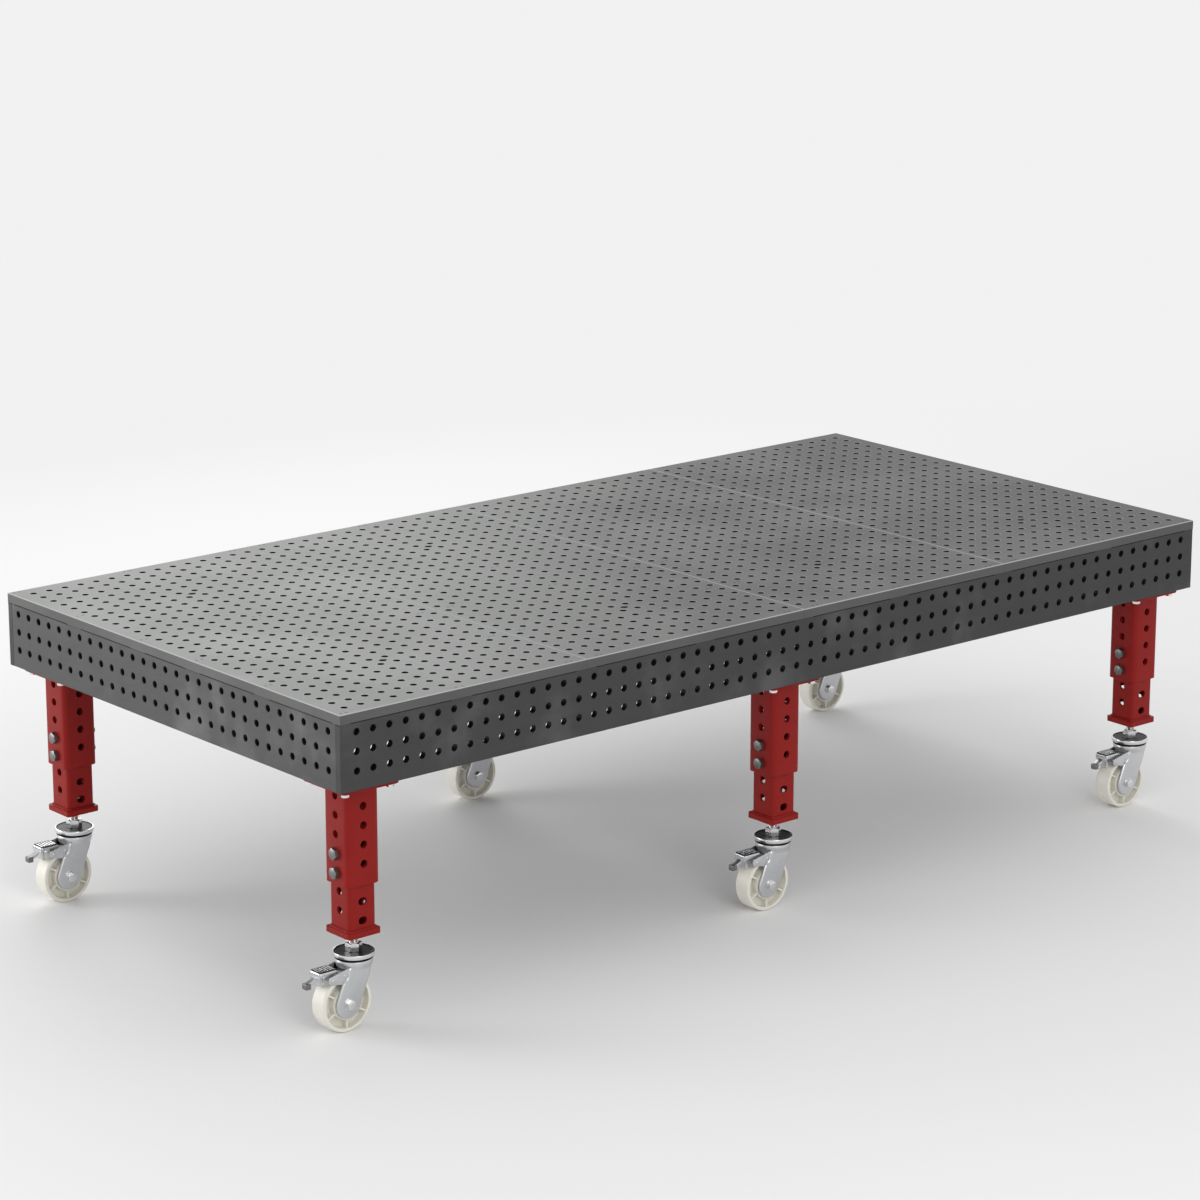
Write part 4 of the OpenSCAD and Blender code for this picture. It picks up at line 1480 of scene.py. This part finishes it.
class Caster:
    """One braked swivel caster: stem, seal, fork, wheel, axle and pedal."""

    def __init__(self, leg: Leg, sizes: CasterSizes, looks: Finishes) -> None:
        """Builds the caster under a leg.

        Args:
            leg: the leg that carries it.
            sizes: the caster's sizes.
            looks: the finishes.
        """
        self.leg = leg
        self.s = sizes
        self.looks = looks
        self.on_axle = Turn.FRONT.at(-sizes.trail, 0, sizes.wheel_r)
        self.stem()
        self.fork()
        self.wheel()
        self.axle()
        self.pedal()

    def put(self, shape: Shape, name: str, finish: bpy.types.Material, part: str, slot: str,
            replaces: str = "") -> None:
        """Makes a piece on the body of one of the caster's parts.

        Args:
            shape: the piece's shape, about the swivel axis.
            name: its name, without the leg's number.
            finish: its finish.
            part: the part whose body it rides on.
            slot: the record's material slot.
            replaces: the node that it stands for, without the leg's number.
        """
        index = self.leg.index
        nodes = [f"{replaces}_{index}"] if replaces else ()
        self.leg.place(shape, name, finish, f"{part}_body_{index}", slot, nodes)

    def stem(self) -> None:
        """The swivel cup with its dark dish, the seal, the threaded stud, its two nuts and the kingpin."""
        s = self.s
        dish = s.cup_high - s.dish_deep
        metal = lathe([*above(s.cup_low, (0, 0), (50.6, 0), (52.9, 0.9), (53.975, 2.8)),
                       *above(s.cup_high, (53.975, -1.6), (53.5, -0.5), (52.5, 0), (49.0, 0), (47.9, -0.5),
                              (47.4, -1.5), (0, -1.5))], 96)
        metal.join(lathe([*metres((0, 160.5), (19.0, 160.5), (20.0, 161.3), (20.0, 164.5), (15.0, 164.5)),
                          *above(s.seal_low, (15.0, 0), (0, 0))], 48))
        metal.join(hexagon(s.nut_af, dish, s.cup_high + s.nut_h, below=True))
        metal.join(hexagon(s.nut_af, s.foot_high, s.foot_high + s.nut_h, below=True))
        metal.join(thread(s.stud_r, s.cup_high, s.foot_high - 10 * MM, 3.2 * MM, 1.2 * MM))
        foot, tip = s.foot_high - 17 * MM, s.foot_high + 31.2 * MM
        metal.join(lathe([(0, foot), (s.stud_r, foot), (s.stud_r, tip - MM), (s.stud_r - MM, tip),
                          (0, tip)], 40))
        self.put(metal, "stem", self.looks.bright, "leg", "zinc", "stem")
        dark = lathe([*above(s.seal_low, (0, 0), (49.0, 0), (50.0, 0.9)),
                      *above(s.cup_low, (50.0, -0.6), (49.4, 0), (0, 0))], 96)
        dark.join(lathe([*above(dish, (16, -1), (50.4, -1)),
                         *above(s.cup_high, (50.8, 0.1), (48.6, 0.1), (47.4, -0.4)),
                         *above(dish, (46.6, 0.25), (16, 0.25))], 96, closed=True))
        self.put(dark, "stem_seal", self.looks.seal, "leg", "zinc")

    def fork(self) -> None:
        """The pressed fork: stepped crown, two cheeks with their brake arms, front web and pedal pin."""
        s = self.s
        body = lathe([*above(s.fork_top - s.crown_h, (15.1, 0), (42.5, 0), (45.2, 1.4), (46.6, 4.4),
                             (46.6, 9.0), (47.0, 10.2), (48.6, 10.9), (49.0, 12.2)),
                      *above(s.fork_top, (49.0, -2.2), (48.4, -0.7), (46.9, 0), (15.1, 0))], 96, closed=True)
        cheek = self.cheek()
        body.join(cheek)
        body.join(cheek.moved(Matrix.Diagonal((1, -1, 1, 1))))
        web = metres((28, 174.2), (18, 138.2), (23, 138.2), (28, 152.2), (33, 174.2))
        half = s.cheek_out - s.cheek_t + 0.5 * MM
        body.join(slab(web, -half, half, 0.5 * MM).moved(Turn.FRONT.at()))
        x, z = s.pivot
        body.join(rod(4 * MM, -30 * MM, 30 * MM, 32).moved(Turn.FRONT.at(x, 0, z)))
        self.put(body, "fork", self.looks.zinc, "fork", "zinc", "fork")

    def cheek(self) -> Shape:
        """The fork's front cheek with its round end, its brake arm and the studs on both.

        Returns:
            The shape, whose mirror image is the other cheek.
        """
        s = self.s
        inner = s.cheek_out - s.cheek_t
        centre = np.array([-(s.trail + s.arc_back), s.wheel_r])
        round_end = (centre + s.end_r * on_circle(np.radians(np.linspace(-22, -200, 40))))[::-1]
        upper = metres((28, 152.2), (31.6, 168.2), (26, 174.2), (-36, 174.2), (-42, 168), (-44, 150),
                       (-60, 133.2))
        cheek = slab(np.concatenate([soft_corners(upper), round_end]), inner, s.cheek_out, 0.8 * MM, 5.2 * MM)
        arm = metres((-30, 126), (-30, 171), (-34, 173.6), (-49.5, 170.2), (-98, 160.2), (-102, 156.2),
                     (-102, 144.2), (-94, 140.2), (-60, 133.2), (-46, 126), (-30, 126))
        cheek.join(slab(soft_corners(arm)[:-1], inner, s.cheek_out - 2.6 * MM, 0.6 * MM, 1.6 * MM))
        cheek = cheek.moved(Turn.FRONT.at())
        for x, z, radius, rise, sunk in ((-52, 155.0, 4.4, 1.6, 2.6), (-52, 139.5, 4.4, 1.6, 1.6),
                                         (-88, 149, 6.4, 2.2, 2.6), (-72, 160.0, 3.2, 1.2, 2.6)):
            stud = metres((0, 0), (radius, 0), (radius, rise * 0.55), (radius * 0.8, rise * 0.9), (0, rise))
            spot = Turn.FRONT.at(x * MM, sunk * MM - s.cheek_out, z * MM)
            cheek.join(lathe(stud, 28).moved(spot))
        return cheek

    def wheel(self) -> None:
        """The moulded wheel: crowned tread with round shoulders, rim, web, hub and six ribs."""
        half = metres((8.0, 28.0), (20.8, 28.0), (21.5, 27.3), (21.5, 25.4), (42.2, 25.4), (43.0, 24.6),
                      (43.6, 4.3), (44.6, 3.5), (64.6, 3.5), (65.6, 4.3), (66.2, 24.4), (67.0, 25.4),
                      (72.6, 25.4), (74.4, 24.8), (75.6, 23.4), (76.1, 21.4), (76.2, 16.0))
        shape = lathe(np.concatenate([half, half[::-1] * np.array([1, -1])]), 96, closed=True)
        rib = slab(rounded(25.4 * MM, 5.0 * MM, 0.6 * MM, 2), -21.4 * MM, 21.4 * MM, 0.6 * MM)
        for i in range(6):
            shape.join(rib.moved(spun(math.radians(30 + 60 * i)) @ Turn.UP.at(54.6 * MM)))
        self.put(shape.moved(self.on_axle), "wheel", self.looks.nylon, "wheel", "nylon", "wheel")

    def axle(self) -> None:
        """The axle bolt with its washers, head, nut and threaded end."""
        s = self.s
        out = s.cheek_out
        shape = Shape()
        shape.join(washer(14.5, 2.0).moved(Turn.UP.at(0, 0, out)))
        shape.join(hexagon(s.axle_af, out + 2.0 * MM, out + 10.0 * MM))
        shape.join(washer(14.5, 2.0).moved(FLIP @ Turn.UP.at(0, 0, out)))
        shape.join(hexagon(s.axle_af, out + 2.0 * MM, out + 13.9 * MM).moved(FLIP))
        shape.join(thread(s.axle_r, out + 13.0 * MM, out + 17.9 * MM, 2.0 * MM, 0.9 * MM).moved(FLIP))
        shape.join(rod(s.axle_r, -out, out))
        self.put(shape.moved(self.on_axle), "axle_bolt", self.looks.bright, "fork", "zinc", "axle_bolt")

    def pedal(self) -> None:
        """The brake pedal, plated: pressed tray, hinge barrel, lugs, shoe, neck, block and tread, with a dark
        pad under the tread that paints shade and dark reflection in the tray's top.
        """
        s = self.s
        x, z = s.pivot
        left, right = s.pedal
        top, middle, length = s.pedal_top, (left + right) / 2, right - left
        over = Turn.UP.at(middle)
        tray = slab(rounded(length, s.pedal_w, 6.5 * MM), top - 8.0 * MM, top, 0.6 * MM, 6.0 * MM).moved(over)
        flank = metres((-121, 168), (-121, 163.5), (-119.5, 162), (-67.5, 162), (-66, 163.5), (-66, 168))
        for low, high in ((19.2, 23.0), (-23.0, -19.2)):
            tray.join(slab(flank, low * MM, high * MM, 0.6 * MM).moved(Turn.FRONT.at()))
        tray.join(across(21, 0.5, (-123, 156), (-121.5, 154.2), (-119.6, 154.2), (-119.2, 169), (-123, 169)))
        barrel = metres((4.1, -22.9), (7.5, -22.9), (8.0, -22.4), (8.0, 22.4), (7.5, 22.9), (4.1, 22.9))
        tray.join(lathe(barrel, 40, closed=True).moved(Turn.FRONT.at(x, 0, z)))
        tray.join(across(22.4, 0.4, (-95.4, 168), (-95.4, 153.6), (-91, 155.6), (-85, 155.6), (-80.6, 153.6),
                         (-80.6, 168)))
        tray.join(across(15, 0.8, (-115, 168), (-115, 135.5), (-111.5, 132), (-101.6, 132), (-108, 139),
                         (-108, 168)))
        tray.join(across(8.4, 0.6, (-146, 148.6), (-140, 141), (-131.4, 144.5), (-119.6, 154.6),
                         (-122.6, 159.6), (-128, 156.2)))
        self.put(tray, "pedal_tray", self.looks.zinc, "pedal", "zinc", "brake_pedal")
        # A dark sheet under the tread bars: painted shade and dark reflection in the tray's top.
        pad = slab(rounded(length - 4.4 * MM, 42 * MM, 4.0 * MM, 5), top - 2.4 * MM, top + 0.3 * MM,
                   0.2 * MM, 0.6 * MM)
        self.put(pad.moved(over), "pedal_shade_pad", self.looks.seal, "pedal", "zinc")
        block = slab(rounded(15.6 * MM, 15.6 * MM, 2.2 * MM, 4), -8.9 * MM, 8.9 * MM, 1.0 * MM)
        block = block.moved(Turn.FRONT.at(-148 * MM, 0, 141 * MM))
        self.put(block, "pedal_block", self.looks.steel, "pedal", "zinc")
        bar = slab(rounded(2.6 * MM, 34 * MM, 1.2 * MM, 3), top - 1.0 * MM, top + 0.6 * MM,
                   0.2 * MM, 0.3 * MM)
        tread = Shape()
        for i in range(s.treads):
            tread.join(bar.moved(Turn.UP.at(middle + (i - (s.treads - 1) / 2) * s.tread_pitch)))
        self.put(tread, "pedal_tread", self.looks.bright, "pedal", "zinc")


@dataclass(frozen=True)
class StudioLight:
    """One soft area lamp: its place, the point that it looks at, its width in metres and its watts."""

    name: str
    place: Triple
    aim: Triple
    size: float
    power: float

    def add(self) -> None:
        """Adds the lamp to the scene."""
        lamp = bpy.data.lights.new(self.name, "AREA")
        lamp.shape, lamp.size, lamp.energy = "DISK", self.size, self.power
        obj = bpy.data.objects.new(self.name, lamp)
        obj.location = self.place
        obj.rotation_euler = (Vector(self.aim) - Vector(self.place)).to_track_quat("-Z", "Y").to_euler()
        bpy.context.scene.collection.objects.link(obj)


@dataclass(frozen=True)
class Studio:
    """Camera, pale floor, soft lamps and a pale world."""

    eye: Triple = (-7.07305, -8.3627, 3.6844)
    look: Triple = (0.6207, 0.7399, -0.2594)
    lens: float = 120.08
    film: float = 36.0
    reach: float = 200.0
    ambient: float = 0.80
    backdrop: float = 0.885
    floor_colour: Triple = (0.88, 0.88, 0.88)
    floor_r: float = 40.0
    floor_z: float = -0.0005
    near: float = 2.6
    far: float = 5.5
    depth_share: float = 0.55
    lamps: tuple[StudioLight, ...] = (
        StudioLight("left_softbox", (-5.6, 4.4, 1.5), (-1.0, 0.0, 0.8), 3.5, 160.0),
        StudioLight("front_softbox", (-3.0, -9.0, 5.0), (0.0, 0.0, 0.5), 5.0, 205.0),
        StudioLight("back_softbox", (2.9, 6.8, 4.0), (-1.2, 0.0, 0.87), 4.2, 108.0),
    )

    def camera(self) -> None:
        """Creates the camera and makes it the scene's."""
        lens = bpy.data.cameras.new("camera")
        lens.lens, lens.sensor_width, lens.clip_end = self.lens, self.film, self.reach
        obj = bpy.data.objects.new("camera", lens)
        obj.location = self.eye
        obj.rotation_euler = Vector(self.look).to_track_quat("-Z", "Y").to_euler()
        bpy.context.scene.collection.objects.link(obj)
        bpy.context.scene.camera = obj

    @staticmethod
    def seen(g: Graph) -> Value:
        """The share of a ray that shows the backdrop.

        Args:
            g: the graph that asks.

        Returns:
            1 for camera, glossy and transmission rays, else 0.
        """
        rays = g.node("ShaderNodeLightPath", {}, {})
        share = Value(g, rays.outputs["Is Camera Ray"])
        for extra in ("Is Glossy Ray", "Is Transmission Ray"):
            share = share.most(Value(g, rays.outputs[extra]))
        return share

    def world(self) -> None:
        """A pale world: one grey level for light, and the backdrop's for rays that show it."""
        world = bpy.data.worlds.new("pale_room")
        bpy.context.scene.world = world
        g = Graph.on(world)
        back = g.tree.nodes["Background"]
        g.feed(back.inputs["Color"], grey(1.0))
        g.feed(back.inputs["Strength"], self.seen(g) * (self.backdrop - self.ambient) + self.ambient)

    def floor(self) -> None:
        """A large pale floor that takes the table's shadow and passes into the plain backdrop far from it."""
        g = Graph("pale_floor")
        x, y, _ = g.axes()
        base = g.shade(g.noise(Grain(0.6, 2.0)), self.floor_colour, (0.995, 1.005))
        g.finish(Base_Color=base, Roughness=0.85, Specular_IOR_Level=0.1)
        plain = g.node("ShaderNodeEmission", {}, {"Color": grey(1.0), "Strength": self.backdrop})
        away = (x * x * self.depth_share + y * y).rise((self.near ** 2, self.far ** 2))
        both = g.node("ShaderNodeMixShader", {}, {
            0: away * self.seen(g),
            1: Value(g, g.shader.outputs[0]),
            2: Value(g, plain.outputs[0]),
        })
        g.feed(g.tree.nodes["Material Output"].inputs["Surface"], Value(g, both.outputs[0]))
        points = at_height(self.floor_r * on_circle(around(96)), self.floor_z)
        mesh = bpy.data.meshes.new("floor")
        mesh.from_pydata(points.tolist(), [], [list(range(len(points)))])
        mesh.materials.append(g.material)
        obj = bpy.data.objects.new("floor", mesh)
        bpy.context.scene.collection.objects.link(obj)

    def build(self) -> None:
        """Adds the floor, the world and the lamps."""
        self.floor()
        self.world()
        for lamp in self.lamps:
            lamp.add()
        bpy.context.scene.view_settings.view_transform = "Standard"


def dress_frame(rib_steel: bpy.types.Material) -> None:
    """Gives the CAD nodes that stay in view their finish, on every slot.

    Args:
        rib_steel: the finish of the ribs and pads.
    """
    for name in ("ribs", "leg_pads"):
        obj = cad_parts[name]
        obj.data.materials.clear()
        obj.data.materials.append(rib_steel)
    LOG.info("ribs and pads keep their CAD shapes")


def main() -> None:
    """Builds the camera, the finishes, the table and its six legs, then the room."""
    logging.basicConfig(level=logging.INFO, format="%(message)s")
    studio = Studio()
    studio.camera()
    table = TableSizes()
    ground = GroundSteel().material("ground_steel", table)
    side = MillSteel().material("side_steel", table)
    looks = Finishes(
        red=PowderCoat().material("red_paint"),
        zinc=Plated().material("zinc"),
        bright=Plated((0.74, 0.745, 0.75), metallic=1.0, roughness=0.22, spread=0.05).material("bright_zinc"),
        steel=Plated(colour=(0.19, 0.192, 0.19), roughness=0.36).material("bolt_steel"),
        seal=Moulded((0.008, 0.008, 0.009), 0.36, gloss=0.12).material("black_seal"),
        nylon=Moulded((0.75, 0.73, 0.655), 0.42, scuff=0.06).material("nylon"),
    )
    dress_frame(MillSteel(colour=(0.06, 0.06, 0.062), pale=1.3).material("rib_steel", table))
    TableTop(table, ground)
    # The end plates take a paler copy of the side steel: painted light on the end faces.
    Skirt(table, side, MillSteel(colour=(0.086, 0.086, 0.086), pale=2.1).material("end_steel_painted_light", table))
    sizes = LegSizes()
    for index in range(1, len(sizes.places) + 1):
        Caster(Leg(index, sizes, looks), CasterSizes(), looks)
    studio.build()


if __name__ == "__main__":
    main()
